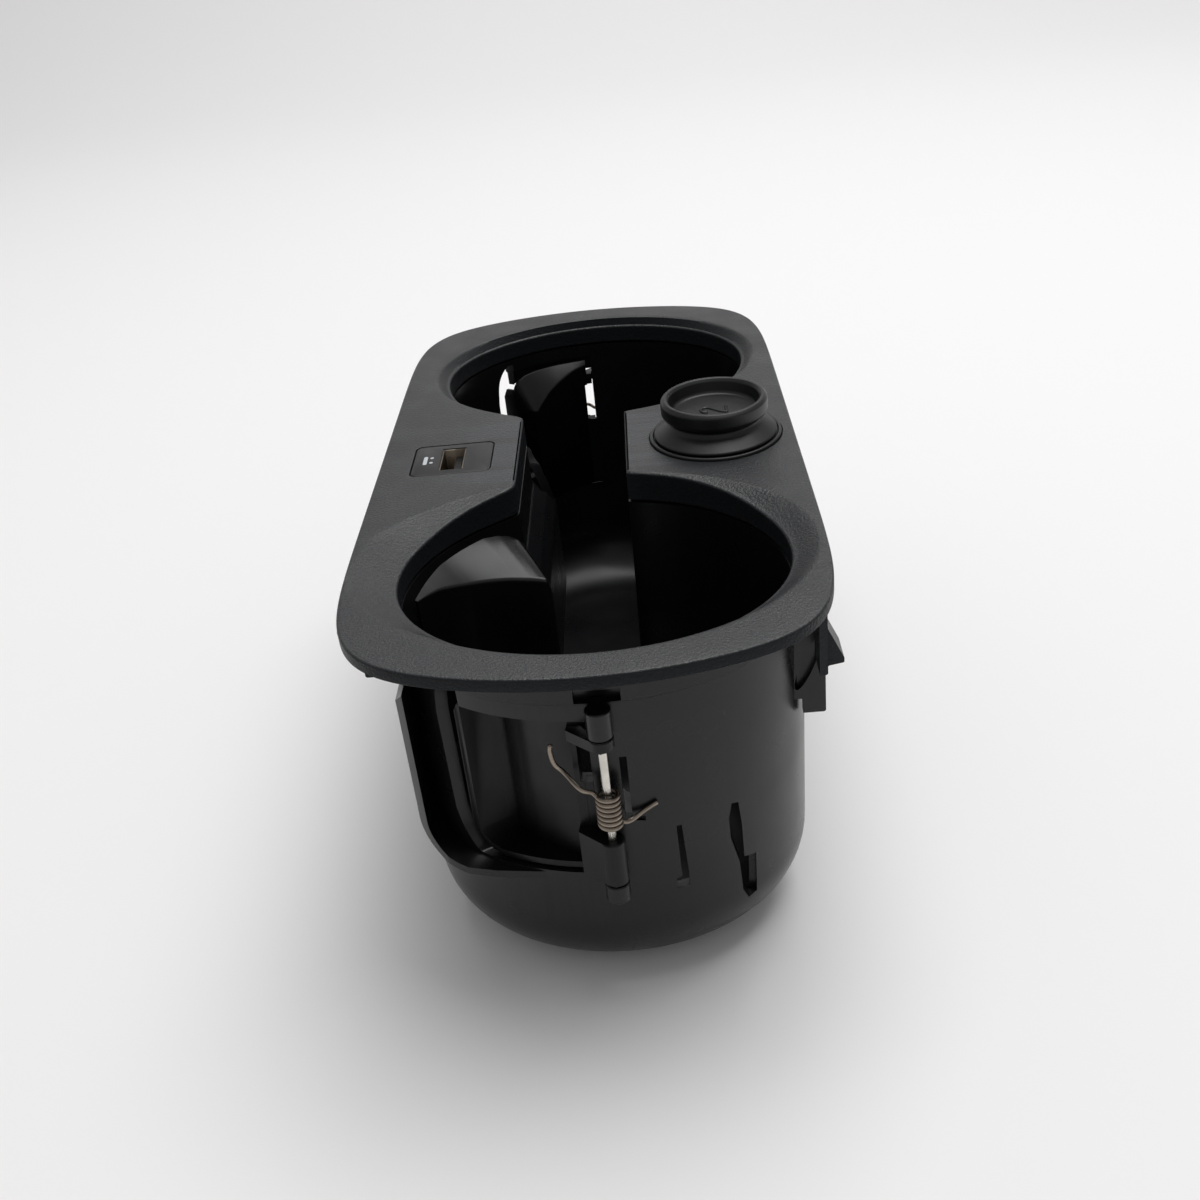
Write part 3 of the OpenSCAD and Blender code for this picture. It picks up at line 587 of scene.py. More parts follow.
def make_bezel():
    """The bezel skin with the seats of the port plate and of the socket cut into it."""
    rings = bezel_rings()
    rows, cols = rings.shape[:2]
    base = solid("bezel_skin", rings.reshape(-1, 3), strip_faces(rows, cols, True))
    px, py = PORT
    half_w, half_l, deep = PLATE[0] / 2 + PLATE_GAP, PLATE[1] / 2 + PLATE_GAP, PLATE[2]
    shaft_w, shaft_l, shaft_deep = PORT_SHAFT
    corner = SEAT_CORNER
    # The nudge under the signs keeps each quarter turn on one side of its corner
    turn = np.radians(np.arange(0, 360, 7.5))
    seat = np.stack(
        [
            px + (half_w - corner) * np.sign(np.cos(turn + 1e-6)) + corner * np.cos(turn),
            py + (half_l - corner) * np.sign(np.sin(turn + 1e-6)) + corner * np.sin(turn),
        ],
        1,
    )
    cutters = [
        solid("seat", *loft([at_drop(seat, -2.0), at_drop(seat, deep)])),
        box_solid(
            "shaft",
            (px - shaft_w, py - shaft_l, DECK - shaft_deep),
            (px + shaft_w, py + shaft_l, DECK + 1),
        ),
    ]
    for name, radius, deep in SOCKET_BORES:
        loop = np.array(SOCKET) + radius * circle(BORE_SIDES)
        cutters.append(solid(name, *loft([at_drop(loop, -3.0), at_drop(loop, deep)])))
    return carved(base, cutters)


# Shapes along the wall of a well. Angles are in degrees round the front well, depths are
# measured down from the bezel face, and the rear well is the front one mirrored.

# Wall and floor of the tub, radius between them, draft, foot of the collar, fit
TUB_WALL, FLOOR_T, FLOOR_R, DRAFT, COLLAR_DROP, FIT = 2.5, 2.6, 22.0, 1.2, 13.0, 0.3
COLLAR_OUT = SLEEVE_T + FIT + 1.4
RIM_DROP = BEZEL_T + DISH + FIT
# Angles of the window: its start, the step of its upper edge, its end
WINDOW_START, WINDOW_STEP, WINDOW_END = 222, 232.45, 266.5
WINDOW_TOP, WINDOW_BOTTOM = 17.3, 60.0
FLAP_BOTTOM = WINDOW_BOTTOM - 0.9
# Hinge pin: its place, its radius, the radius of bosses and knuckles, their clearances
PIN_Y = -WELL_Y - WELL_OUT - 5.6
PIN_R, KNUCKLE_R, PIN_GAP, HINGE_GAP = 1.0, 2.8, 0.05, 0.25
# Ends of the upper and lower boss
BOSS_END, FOOT_END = 18.9, FLAP_BOTTOM + 5


def table(*pairs, ease=0.5):
    """Straight lines through pairs of angle and value, their kinks eased over a few degrees."""
    at, value = zip(*pairs)
    spread = np.linspace(-ease, ease, 5)
    return lambda t: float(np.interp(t + spread, at, value).mean())


def well_wall(t, w):
    """Plan points at angles t round the front well and distances w out from its wall."""
    t, w = np.radians(t), np.asarray(w, float)
    reach = np.where(np.sin(t) > 0, WELL_IN, WELL_OUT)
    out = np.stack([reach * np.cos(t), WELL_RX * np.sin(t)], -1)
    out /= np.linalg.norm(out, axis=-1, keepdims=True)
    wall = np.stack([WELL_X + WELL_RX * np.cos(t), -WELL_Y + reach * np.sin(t)], -1)
    return wall + out * w[..., None]


def wall_loft(name, angles, section, rear=False, lean=None):
    """Solid along the well wall through a section of (distance out, depth) at each angle."""
    rings = []
    for t in angles:
        w, drop = np.array(section(t), float).T
        shift = lean(t) * w if lean else 0 * w
        rings.append(np.column_stack([well_wall(t - shift, w), DECK - drop]))
    vertices, faces = loft(rings)
    return solid(name, flipped(vertices) if rear else vertices, faces)


def even(start, end, step, *breaks):
    """Angles from start to end about a step apart, with the breaks among them."""
    inner = np.linspace(start, end, max(2, round(abs(end - start) / step) + 1))
    return np.unique(np.concatenate([inner, breaks]))


def sector(name, t0, t1, w0, w1, drop0, drop1, rear=False):
    """Block along the wall with a plain rectangular section."""
    box = [(w0, drop0), (w1, drop0), (w1, drop1), (w0, drop1)]
    return wall_loft(name, even(t0, t1, 1.0), lambda t: box, rear)


def prism(name, plan, drop0, drop1, rear=False):
    """Upright block over a plan polygon between two depths."""
    vertices, faces = loft([at_drop(np.asarray(plan, float), d) for d in (drop0, drop1)])
    return solid(name, flipped(vertices) if rear else vertices, faces)


def side_prism(name, profile, y0, y1, rear=False, shift=WELL_X):
    """Block with a profile of x and depth between two places along Y."""
    profile = np.asarray(profile, float)
    rings = [
        np.column_stack([profile[:, 0] + shift, np.full(len(profile), y), DECK - profile[:, 1]])
        for y in (y0, y1)
    ]
    vertices, faces = loft(rings)
    return solid(name, flipped(vertices) if rear else vertices, faces)


def rod(name, centre, radius, drop0, drop1, rear=False, bevel=0.0):
    """Upright round bar between two depths, its ends broken by a bevel if one is given."""
    rows = [(radius - bevel, drop0), (radius, drop0 + bevel)]
    rows += [(radius, drop1 - bevel), (radius - bevel, drop1)]
    rows = rows if bevel else [(radius, drop0), (radius, drop1)]
    round_plan = circle(ROD_SIDES)
    vertices, faces = loft([at_drop(np.array(centre) + r * round_plan, d) for r, d in rows])
    return solid(name, flipped(vertices) if rear else vertices, faces)


def gathered(name, parts, material, body, replaced=(), sharp=SHARP):
    """Several closed shells kept as one mesh."""
    shell = bmesh.new()
    for part in parts:
        if isinstance(part, bpy.types.Object):
            shell.from_mesh(part.data)
            bpy.data.objects.remove(part)
        else:
            shell.from_mesh(part)
    mesh = bpy.data.meshes.new(name)
    shell.to_mesh(mesh)
    shell.free()
    return finish_mesh(name, mesh, material, body, replaced, sharp)


# Tub


def wall_lean(drop):
    """How far the tub wall leans in at a depth: the draft times the share of the height."""
    return DRAFT * (drop - SLEEVE_H) / (DECK - SLEEVE_H)


MID_X = WELL_X + (CHANNEL_RIGHT - CHANNEL_LEFT) / 2


def floor_rings(base, drop_end, radius):
    """Rings of the quarter arc between wall and floor. Where both sides of the channel would
    pass its middle line they stop there, at the depth that the arc has reached."""
    centre = drop_end - radius
    room = np.abs(OPENING[:, 0] - MID_X) + base - wall_lean(centre) - 0.2
    channel = np.abs(OPENING[:, 1]) < WELL_Y - 8
    rings = []
    for a in np.radians(np.linspace(0, 90, 19)):
        inward = np.full(len(OPENING), radius * (1 - math.cos(a)))
        inward = np.where(channel, np.minimum(inward, room), inward)
        deep = centre + np.sqrt(np.maximum(radius**2 - (radius - inward) ** 2, 0))
        plan = grown(OPENING, OPENING_OUT, base - wall_lean(centre) - inward)
        rings.append(at_drop(plan, deep))
    return rings


def tub_skin():
    """The tub as one skin: floor, inside wall, rim, collar, outside wall and underside."""
    inner = floor_rings(0, DECK - FLOOR_T, FLOOR_R - TUB_WALL)[::-1]
    outer = floor_rings(TUB_WALL, DECK, FLOOR_R)
    sleeve, collar = SLEEVE_T + FIT, COLLAR_OUT
    middle = [
        (0.0, SLEEVE_H + FIT + BREAK),
        (sleeve - BREAK, SLEEVE_H + FIT),
        (sleeve, SLEEVE_H + FIT - BREAK),
        (sleeve, RIM_DROP + 0.2),
        (sleeve + BREAK, RIM_DROP),
        (collar - BREAK, RIM_DROP),
        (collar, RIM_DROP + BREAK),
        (collar, COLLAR_DROP - BREAK),
        (collar - BREAK, COLLAR_DROP),
        (TUB_WALL, COLLAR_DROP + 0.05),
    ]
    rings = np.array(
        inner + [at_drop(grown(OPENING, OPENING_OUT, w), d) for w, d in middle] + outer
    )
    rows, cols = rings.shape[:2]
    faces = strip_faces(rows, cols)
    # The loop is even about each well's middle line, so the floors are ladders of quads
    order = np.arange(cols)
    mate = (END_N + 2 * SIDE_N - order) % cols
    for first in (0, (rows - 1) * cols):
        for k in range(-END_N // 2, SIDE_N + END_N // 2):
            a, b = k % cols, (k + 1) % cols
            quad = [first + a, first + b, first + mate[b], first + mate[a]]
            quad = list(dict.fromkeys(int(q) for q in quad))
            faces.append(quad if first else quad[::-1])
    return rings.reshape(-1, 3), faces


# Upper edge of the window before its step, what its lower edge rises, and its lean
window_top = table((222, 24), (222.6, 18), (224, 14.5), (226, 12.2), (228, 10.8), (230, 10))
window_low = table((222, 11), (222.6, 8.5), (224, 5.5), (226, 3), (228, 1), (230, 0))
window_lean = table((232.5, 0.6), (240, 0))


def window_section(t):
    """Section of the window at an angle: high up to the step, then under the wall."""
    top = window_top(t) if t < WINDOW_STEP else WINDOW_TOP
    low = WINDOW_BOTTOM - window_low(t)
    return [(14, top), (-6, top), (-6, low), (14, low)]


# Guide fin: its reach into the well, the share of it at an angle, its upper edge and the
# foot of its slope
FIN_REACH = 17.0
fin_share = table(
    (112, 0.58), (113.6, 0.86), (117, 1), (130, 0.78), (147, 0.38), (158, 0.18), (168, 0.04)
)
fin_top = table(
    (112, 26), (112.6, 22.5), (113.6, 20), (115.2, 17), (117, 15), (120, 13), (124, 11.4),
    (130, 10.2), (150, 10.2), (168, 12.6),
)
fin_foot = table(
    (112, 28), (113.6, 23.5), (117, 19), (130, 17.6), (147, 16.2), (158, 14.2), (168, 13.4)
)


def fin_section(t, rear=False):
    """Section of the guide fin: a ledge that falls into the well over an upright face, with
    the edge between them rounded."""
    reach = FIN_REACH * fin_share(t)
    if rear:
        reach = min(reach, 5.6 + 0.5 * max(0.0, t - 115))
    corner = min(1.6, 0.4 * reach)
    profile = [(1, fin_top(t)), (-reach, fin_foot(t)), (-reach, FLAP_BOTTOM), (1, FLAP_BOTTOM)]
    return rounded(profile, [0, corner, 0.3, 0], 6)


def fin_hollow(t):
    """Section of the space behind the fin, open to the outside of the tub."""
    back = 1.8 - FIN_REACH * fin_share(t)
    top = fin_top(t) + 2.6
    low = FLAP_BOTTOM - 1.8
    return [(6, top), (back, max(fin_foot(t) + 1.4, top)), (back, low), (6, low)]


def housing_profile(inset):
    """Left wall, rounded corner and floor of the housing as x and depth, moved in by an
    inset. The inner one also rises past the open top."""
    end = WINDOW_BOTTOM + 2.6
    r, left, low = 10 - inset, -46 + inset, end - inset
    arc = [
        (left + r + r * math.cos(a), low - r - r * math.sin(a))
        for a in np.radians(np.linspace(180, 270, 13))
    ]
    lift = 4 if inset else 0
    return [(left + 4 - lift, 14 - lift), (left, 19)] + arc + [(1, low), (1, 14 - lift)]


# Plan of the housing, from the centre of the well
HOUSING_PLAN = [
    (-47, -8), (-47, -23.5), (-44.5, -26.3), (-39.7, -31.1), (-34.7, -34.4), (-28, -36.2),
    (-18, -37.6), (-10, -38), (-10, -8),
]
# Slots in the front wall as x and depth
WALL_SLOTS = [
    [(3.2, 27.5), (4.8, 27.5), (4.8, 44), (7.6, 44.6), (7.6, 46), (3.2, 45)],
    [(14.2, 49.4), (15.4, 49.4), (16.2, 64), (16.2, 68), (13.2, 68), (13.2, 65), (14.6, 64.4)],
    [
        (27, 48.5), (28.6, 49), (29.2, 56), (29.4, 66), (32.3, 67), (32.1, 79), (30, 79.8),
        (28.7, 76), (28.2, 67), (26.4, 58.5), (26.2, 52.5),
    ],
]


def tub_cutters(rear):
    """What is taken out of the tub skin at one well."""
    angles = even(WINDOW_START, WINDOW_END, 0.5, 222.6, 232.4, 232.5)
    cut = [
        wall_loft("window", angles, window_section, rear, window_lean),
        sector("recess", 231, WINDOW_END, -6, 1.5, 12.4, WINDOW_TOP + 1, rear),
        sector("fin_back", 114.6, 152, -0.5, 6, 18.6, FLAP_BOTTOM - 1.8, rear),
    ]
    if not rear:
        y = -WELL_Y - WELL_OUT
        for k, points in enumerate(WALL_SLOTS):
            cut.append(side_prism(f"slot_{k}", points, y + 11, y - 11))
        y -= COLLAR_OUT
        cut.append(box_solid("notch", (-3, y - 1, DECK - 12.4), (7, y + 2, DECK - 9.2)))
    return cut


def hinge_boss(rear, drop0, drop1):
    """Boss that holds one end of the pin: a bored round with a web back to the wall."""
    corners = ((-1.7, 0), (1.7, 0), (1.7, 4.3), (-1.7, 4.3))
    web = [(WELL_X + x, PIN_Y + y) for x, y in corners]
    bore = (drop0 + 1, drop1 + 1) if drop0 < 20 else (drop0 - 1, drop1 - 1.5)
    return carved(
        rod("boss", (WELL_X, PIN_Y), KNUCKLE_R, drop0, drop1, rear, 0.25),
        [rod("bore", (WELL_X, PIN_Y), PIN_R, *bore, rear)],
        [prism("web", web, drop0, drop1, rear)],
    )


def channel_lining():
    """Raised lining of the channel's left wall: its section carried along the channel."""
    face = [(-18.6, 20), (-17.6, 21), (-14.6, 25.5), (-12.6, 31), (-12.4, FLAP_BOTTOM)]
    face = rounded(face + [(-18.6, FLAP_BOTTOM)], [0, 1.5, 4, 5, 0, 0])
    return side_prism("lining", face, -30.5, 30.5, shift=0.0)


def window_housing(rear):
    """Housing behind the window: its profile carried back, hollowed, kept clear of the well
    and trimmed to its plan."""
    shell = carved(
        side_prism("housing", housing_profile(0), -WELL_Y, -WELL_Y - 60, rear),
        [
            side_prism("inside", housing_profile(2), -WELL_Y + 1, -WELL_Y - 61, rear),
            sector("wall_space", 190, 275, -30, 1, 0, DECK, rear),
        ],
    )
    plan = [(x + WELL_X, y - WELL_Y) for x, y in HOUSING_PLAN]
    bounds = prism("bounds", plan, -1, WINDOW_BOTTOM + 4, rear)
    keep = bpy.data.objects.new("housing", shell)
    bpy.context.scene.collection.objects.link(keep)
    return carved(keep, [], [], [bounds])


def wall_lug(rear):
    """Lug on the right of the wall with a slanted eye sunk in it, and the rib behind it."""
    x, y = well_wall(338, 0.0)
    shift = np.array([x - WELL_X, 0])
    turn = np.linspace(0, 2 * math.pi, 40, endpoint=False)
    eye = np.stack([4.6 + 1.7 * np.cos(turn) + 2.6 * np.sin(turn), 23.5 - 7 * np.sin(turn)], 1)
    lug = rounded([(0, 33), (3.9, 33), (9.3, 24), (9.3, 13), (0, 13)], [0, 1, 1.5, 2, 0], 4)
    rib = rounded([(3.6, 38.4), (8.9, 38.4), (8.9, 14), (3.6, 14)], [0.6, 0.6, 0, 0], 4)
    return [
        carved(
            side_prism("lug", lug + shift, y, y - 2.2, rear),
            [side_prism("eye", eye + shift, y - 0.7, y - 3, rear)],
        ),
        side_prism("rib", rib + shift, y + 1.6, y - 0.3, rear),
    ]


def notch_lip(rear):
    """Lip of the collar over the pin: its outline cut out of a band along the wall."""
    lip = [(-8.3, 12.6), (-8.3, 13), (-5.7, 15.6), (3.5, 15.6), (6.4, 13), (6.4, 12.6)]
    return carved(
        side_prism("lip", lip, -WELL_Y - 30, -WELL_Y - 60, rear),
        [],
        [],
        [sector("band", 250, 290, 1, COLLAR_OUT, 12, 17, rear)],
    )


def tub_features(rear):
    """What stands on the tub skin at one well: fin, hinge bosses, housing, lug and lip, and
    with the front well the lining of the channel."""
    fin_angles = even(112, 168, 0.8, 112.6, 113.6)
    hollow_angles = even(130 if rear else 114.6, 152, 1.5)
    parts = [
        carved(
            wall_loft("fin", fin_angles, lambda t: fin_section(t, rear), rear),
            [wall_loft("hollow", hollow_angles, fin_hollow, rear)],
        ),
        hinge_boss(rear, COLLAR_DROP - 1, BOSS_END),
        hinge_boss(rear, FLAP_BOTTOM + HINGE_GAP, FOOT_END),
    ]
    if not rear:
        parts.append(channel_lining())
    return parts + [window_housing(rear), *wall_lug(rear), notch_lip(rear)]


def ear_places():
    """Centres of the four screw ears and the way each one faces, in radians."""
    turn = math.radians(38)
    reach = COLLAR_OUT + 4
    side = np.array([WELL_IN * math.cos(turn), WELL_RX * math.sin(turn)])
    side /= np.linalg.norm(side)
    right = np.array([WELL_X + WELL_RX * math.cos(turn), -WELL_Y + WELL_IN * math.sin(turn)])
    right = right + reach * side
    left = np.array([WELL_X - CHANNEL_LEFT - COLLAR_OUT - 4, -15.5])
    return [
        (place[0], sign * place[1], sign * facing)
        for place, facing in ((right, turn), (left, math.pi))
        for sign in (1, -1)
    ]


def make_tub():
    """The tub: its skin with the windows cut, and the features of both wells and the ears."""
    cutters, parts = [], []
    for rear in (False, True):
        cutters += tub_cutters(rear)
        parts += tub_features(rear)
    for x, y, turn in ear_places():
        along = np.array([math.cos(turn), math.sin(turn)])
        across = np.array([-along[1], along[0]])
        centre = np.array([x, y])
        corners = ((-5, -2.8), (0, -2.8), (0, 2.8), (-5, 2.8))
        web = [centre + a * along + b * across for a, b in corners]
        parts.append(
            carved(
                rod("ear", centre, 4.0, SLEEVE_H, SLEEVE_H + 3, bevel=0.3),
                [rod("ear_bore", centre, 1.7, SLEEVE_H - 1, SLEEVE_H + 4)],
                [prism("ear_web", web, SLEEVE_H, SLEEVE_H + 3)],
            )
        )
    skin = carved(solid("tub_skin", *tub_skin()), cutters)
    gathered("tub_body", [skin] + parts, GLOSSY_ABS, "holder", ("cup_tub",))


make_tub()


# Clips of the bezel: side, place along it, depth of the leg, depths of the tooth, reach
CLIPS = [
    (-1, -70, 22, 5.9, 10, 57.8), (-1, 70, 22, 5.9, 10, 57.8), (1, 70, 22, 5.9, 10, 57.8),
    (1, -87, 20, 8, 17, 55.6),
]


def bezel_fixings():
    """Spring clips under the long sides and the four bored screw posts."""
    parts = []
    for side, y, deep, tooth, end, reach in CLIPS:
        leg = float(np.interp(abs(y), (0, 70, 90), (HALF_W, HALF_W - 0.3, HALF_W - 2))) - 2.4
        profile = [
            (leg - 1.8, 2.2), (leg, 2.2), (leg, tooth), (reach, end - 1.2), (reach, end),
            (leg, end + 0.6), (leg, deep), (leg - 1.8, deep),
        ]
        profile = rounded(profile, [0, 0, 0.4, 0.3, 0.3, 0.4, 0.5, 0], 3) * [side, 1]
        parts.append(side_prism("clip", profile, y - 4, y + 4, shift=0.0))
    for x, y, _ in ear_places():
        post = rod("post", (x, y), 3.5, 2.0, SLEEVE_H)
        parts.append(carved(post, [rod("pilot", (x, y), 1.5, 3.2, SLEEVE_H + 1)]))
    return parts


gathered(
    "bezel_face",
    [make_bezel()] + bezel_fixings(),
    GRAINED_ABS,
    "holder",
    ("bezel",),
    math.radians(40),
)


# Flaps

# Reach of the flap into the well, its wall, the thickness of its lip and its back
FLAP_REACH, FLAP_T, LIP_T, FLAP_BACK = 8.5, 1.8, 0.8, 1.2
BACK_TOP = WINDOW_TOP + 0.9
# End of the upper knuckle, end of the room for the spring, start of the lower knuckle
UPPER_KNUCKLE_END, SPRING_ROOM_END, LOWER_KNUCKLE = 21.9, 34.4, 47.0
# Along the flap: share of the reach, lip, top and foot of the ledge, rise of the lower
# edge, lean of the section
flap_share = table(
    (226, 0.5), (227.5, 0.75), (229.5, 0.92), (232, 1), (241, 0.84), (250, 0.6), (258, 0.34),
    (264, 0.14),
)
flap_lip = table((226, -2.2), (232, -2.2), (240, -1.6), (250, -0.7), (264, -0.3))
ledge_top = table((226, 19.5), (227.5, 17), (229.5, 15.2), (234, 14), (240, 13.6), (264, 13.5))
ledge_foot = table(
    (226, 24), (229.5, 25), (232, 25), (241, 21.3), (250, 18), (258, 15.6), (264, 14.7)
)
flap_rise = table((226, 8), (227.5, 5), (229.5, 2.6), (232, 1), (236, 0), (264, 0))
flap_lean = table((226, 0.45), (245, 0))


def flap_body(t):
    """Section of the flap: a narrow lip, a ledge that falls into the well with a rounded
    edge, the upright face and the back."""
    lip, face = flap_lip(t), -FLAP_REACH * flap_share(t) - LIP_T
    top, foot, low = ledge_top(t), ledge_foot(t), FLAP_BOTTOM - flap_rise(t)
    back = max(BACK_TOP, top + 1)
    corner = min(1.5, 0.3 * abs(face))
    profile = [
        (lip, top), (lip - LIP_T, top), (face, foot), (face, low), (FLAP_BACK, low),
        (FLAP_BACK, back), (lip, back),
    ]
    return rounded(profile, [0, 0.3, corner, 0.5, 0.2, 0.2, 0], 4)


def flap_pocket(t):
    """Section of the pocket behind the face, which follows face, ledge and lower edge at
    the wall's thickness and is open to the back."""
    back = FLAP_T - LIP_T - FLAP_REACH * flap_share(t)
    low = FLAP_BOTTOM - flap_rise(t) - FLAP_T
    top = BACK_TOP - 1
    foot = max(ledge_foot(t) + 0.7 * FLAP_T, top)
    lip = max(flap_lip(t), back + 0.1)
    return [(back, foot), (back, low), (4.2, low), (4.2, top), (lip, top - 0.2)]


def knuckle(rear, drop0, drop1):
    """Hinge knuckle with the link that ties it to the flap."""
    link = [
        (WELL_X, PIN_Y + KNUCKLE_R), (WELL_X - 3.4, PIN_Y + KNUCKLE_R),
        well_wall(262.5, -FLAP_REACH * 0.14), well_wall(261, 0.0), well_wall(261, 3.0),
        (WELL_X - 1.8, PIN_Y - KNUCKLE_R + 0.8), (WELL_X, PIN_Y - KNUCKLE_R),
    ]
    return carved(
        rod("knuckle", (WELL_X, PIN_Y), KNUCKLE_R, drop0, drop1, rear, 0.25),
        [rod("bore", (WELL_X, PIN_Y), PIN_R + PIN_GAP, drop0 - 1, drop1 + 1, rear)],
        [prism("link", link, drop0, drop1, rear)],
    )


def make_flap(node, rear, body):
    """One sprung flap: its leaf with a pocket, the strips by the pin and two knuckles."""
    low = FLAP_BOTTOM - 0.3
    leaf = carved(
        wall_loft("leaf", even(226, 264, 0.8, 226.6, 227.5), flap_body, rear, flap_lean),
        [
            wall_loft("pocket", even(228.6, 261.4, 1.0), flap_pocket, rear, flap_lean),
            sector("spring_room", 262.9, 265, -9, 3, 22, SPRING_ROOM_END, rear),
        ],
    )
    parts = [
        sector("edge", 263.5, 266.2, -1.4, 1.0, 18.4, UPPER_KNUCKLE_END, rear),
        sector("edge", 263.5, 266.2, -1.4, 1.0, 34.6, low, rear),
        sector("lap", 262.0, 267.6, -2.4, -1.2, 34.6, low, rear),
        leaf,
        knuckle(rear, BOSS_END + HINGE_GAP, UPPER_KNUCKLE_END),
        knuckle(rear, LOWER_KNUCKLE, FLAP_BOTTOM - HINGE_GAP),
    ]
    gathered(node + "_leaf", parts, SATIN_NYLON, body, (node,))


make_flap("flap_front", False, "front_flap")
make_flap("flap_rear", True, "rear_flap")


# Springs

# Mean radius of the coil, radius and number of its turns, depth of its top
COIL_R, WIRE_R, TURNS, COIL_TOP = 2.35, 0.55, 6.5, 34.4
# Pitch as a multiple of the wire's radius, points to a turn, angle at which the coil starts
PITCH, TURN_STEPS, COIL_START = 2.36, 24, 200


def smooth_path(points, steps=6):
    """A curve through all the points: between two of them a cubic whose slope at each is half
    the way from the point before to the point after."""
    p = np.asarray(points, float)
    p = np.concatenate([[2 * p[0] - p[1]], p, [2 * p[-1] - p[-2]]])
    t = np.linspace(0, 1, steps, endpoint=False)[:, None]
    out = []
    for a, b, c, d in zip(p[:-3], p[1:-2], p[2:-1], p[3:]):
        square = 2 * a - 5 * b + 4 * c - d
        cube = 3 * b - a - 3 * c + d
        out.append(0.5 * (2 * b + (c - a) * t + square * t**2 + cube * t**3))
    return np.concatenate(out + [p[-2:-1]])


def tube(path, radius, sides=12):
    """Round bar along a path: a circle square to the path at each point, its first axis
    carried on from the point before, and a smaller one past each end."""
    path = np.asarray(path, float)
    ahead = np.gradient(path, axis=0)
    ahead /= np.linalg.norm(ahead, axis=1, keepdims=True)
    side = np.cross(ahead[0], [0.3, 0.2, 1.0])
    turn = np.linspace(0, 2 * math.pi, sides, endpoint=False)[:, None]
    rings = []
    for k, (at, way) in enumerate(zip(path, ahead)):
        side = side - way * (side @ way)
        side /= np.linalg.norm(side)
        up = np.cross(way, side)
        ring = radius * (np.cos(turn) * side + np.sin(turn) * up)
        if k == 0:
            rings.append(at - 0.3 * radius * way + 0.6 * ring)
        rings.append(at + ring)
    rings.append(path[-1] + 0.3 * radius * ahead[-1] + 0.6 * ring)
    return loft(rings)


def spring_path():
    """Hooked leg on the flap, the coil round the pin and the leg along the tub wall. The coil
    is a helix that falls by one pitch a turn."""
    pitch = PITCH * WIRE_R
    turns = np.arange(0, TURNS + 1e-6, 1 / TURN_STEPS)
    angle = np.radians(COIL_START) + 2 * math.pi * turns
    coil = np.stack(
        [
            WELL_X + COIL_R * np.cos(angle),
            PIN_Y + COIL_R * np.sin(angle),
            DECK - COIL_TOP - pitch * turns,
        ],
        1,
    )
    start, end = coil[0], coil[-1]
    hook = well_wall(256, 2.2)
    lead = [
        (hook[0] + 0.2, hook[1], start[2] + 10.6),
        (hook[0], hook[1], start[2] + 8.6),
        (hook[0] + 0.6, hook[1] - 0.2, start[2] + 5.6),
        (hook[0] + 2.4, hook[1] - 0.6, start[2] + 3.6),
        (start[0] - 3.4, start[1] + 0.5, start[2] + 2.0),
        (start[0] - 1.0, start[1] + 0.7, start[2] + 0.6),
    ]
    tail = [
        (end[0] + 1.3, end[1] + 0.4, end[2] - 0.7),
        (end[0] + 2.8, end[1] + 1.3, end[2] - 0.7),
        (end[0] + 5.0, end[1] + 2.4, end[2] + 0.3),
        (end[0] + 8.2, end[1] + 3.2, end[2] + 1.9),
    ]
    upper, lower = smooth_path(lead + [start]), smooth_path([end] + tail)
    return np.concatenate([upper[:-1], coil, lower[1:]])


for node_name, rear in (("spring_front", False), ("spring_rear", True)):
    vertices, faces = tube(spring_path(), WIRE_R)
    wire = solid("wire", flipped(vertices) if rear else vertices, faces)
    gathered(
        node_name + "_wire",
        [wire],
        SPRING_WIRE,
        "holder",
        (node_name,),
        math.radians(60),
    )


# Cap and ring of the socket

# Radius of the ring, of the cap's rim, its height and dish, radius of its neck and its plug
RING_R, CAP_R, CAP_TOP, CAP_DISH, NECK_R, PLUG_R = 17.8, 14.3, 11.0, 4.2, 12.0, 10.3


def turned(name, profile):
    """A turned piece on the socket axis from a profile of radius and height over the face."""
    return solid(name, *lathe([(r, DECK + z) for r, z in profile], SOCKET))


def figure_two(height):
    """The raised figure on the floor of the cap, lying on its side: a thin bar along a smooth
    path of bow, slope and foot."""
    bow = [(-1.9, -1.5), (-3.1, -1.2), (-3.6, 0.2), (-3.0, 1.5), (-1.9, 1.7), (-0.8, 1.0)]
    line = bow + [(0.6, -0.4), (2.0, -1.5), (3.2, -2.0), (3.2, -0.8), (3.2, 0.8), (3.2, 2.0)]
    path = smooth_path([(SOCKET[0] + x, SOCKET[1] + y, height) for x, y in line], 5)
    return tube(path, 0.4, 10)


def make_cap():
    """The cap: plug, cone, neck and dished rim, with the raised figure in the dish."""
    profile = [
        (0.001, -14), (PLUG_R - 1, -14), (PLUG_R, -13), (PLUG_R, 0.8), (16.5, 0.8), (16.5, 1.4),
        (NECK_R + 1, 3.9), (NECK_R, 5.2), (CAP_R, CAP_TOP - 4.2), (CAP_R, CAP_TOP - 0.8),
        (CAP_R - 0.8, CAP_TOP), (CAP_R - 1.6, CAP_TOP), (CAP_R - 2.2, CAP_TOP - 0.8),
        (CAP_R - 2.8, CAP_TOP - CAP_DISH), (0.001, CAP_TOP - CAP_DISH),
    ]
    radii = [0, 0, 0, 0.2, 0.2, 0.5, 2.5, 1.6, 1.4, 0.9, 0.5, 0.5, 0.8, 1.2, 0]
    body = turned("cap", rounded(profile, radii))
    figure = solid("figure", *figure_two(DECK + CAP_TOP - CAP_DISH))
    gathered(
        "socket_cap_body",
        [body, figure],
        SATIN_RUBBER,
        "cap",
        ("socket_cap",),
        math.radians(50),
    )


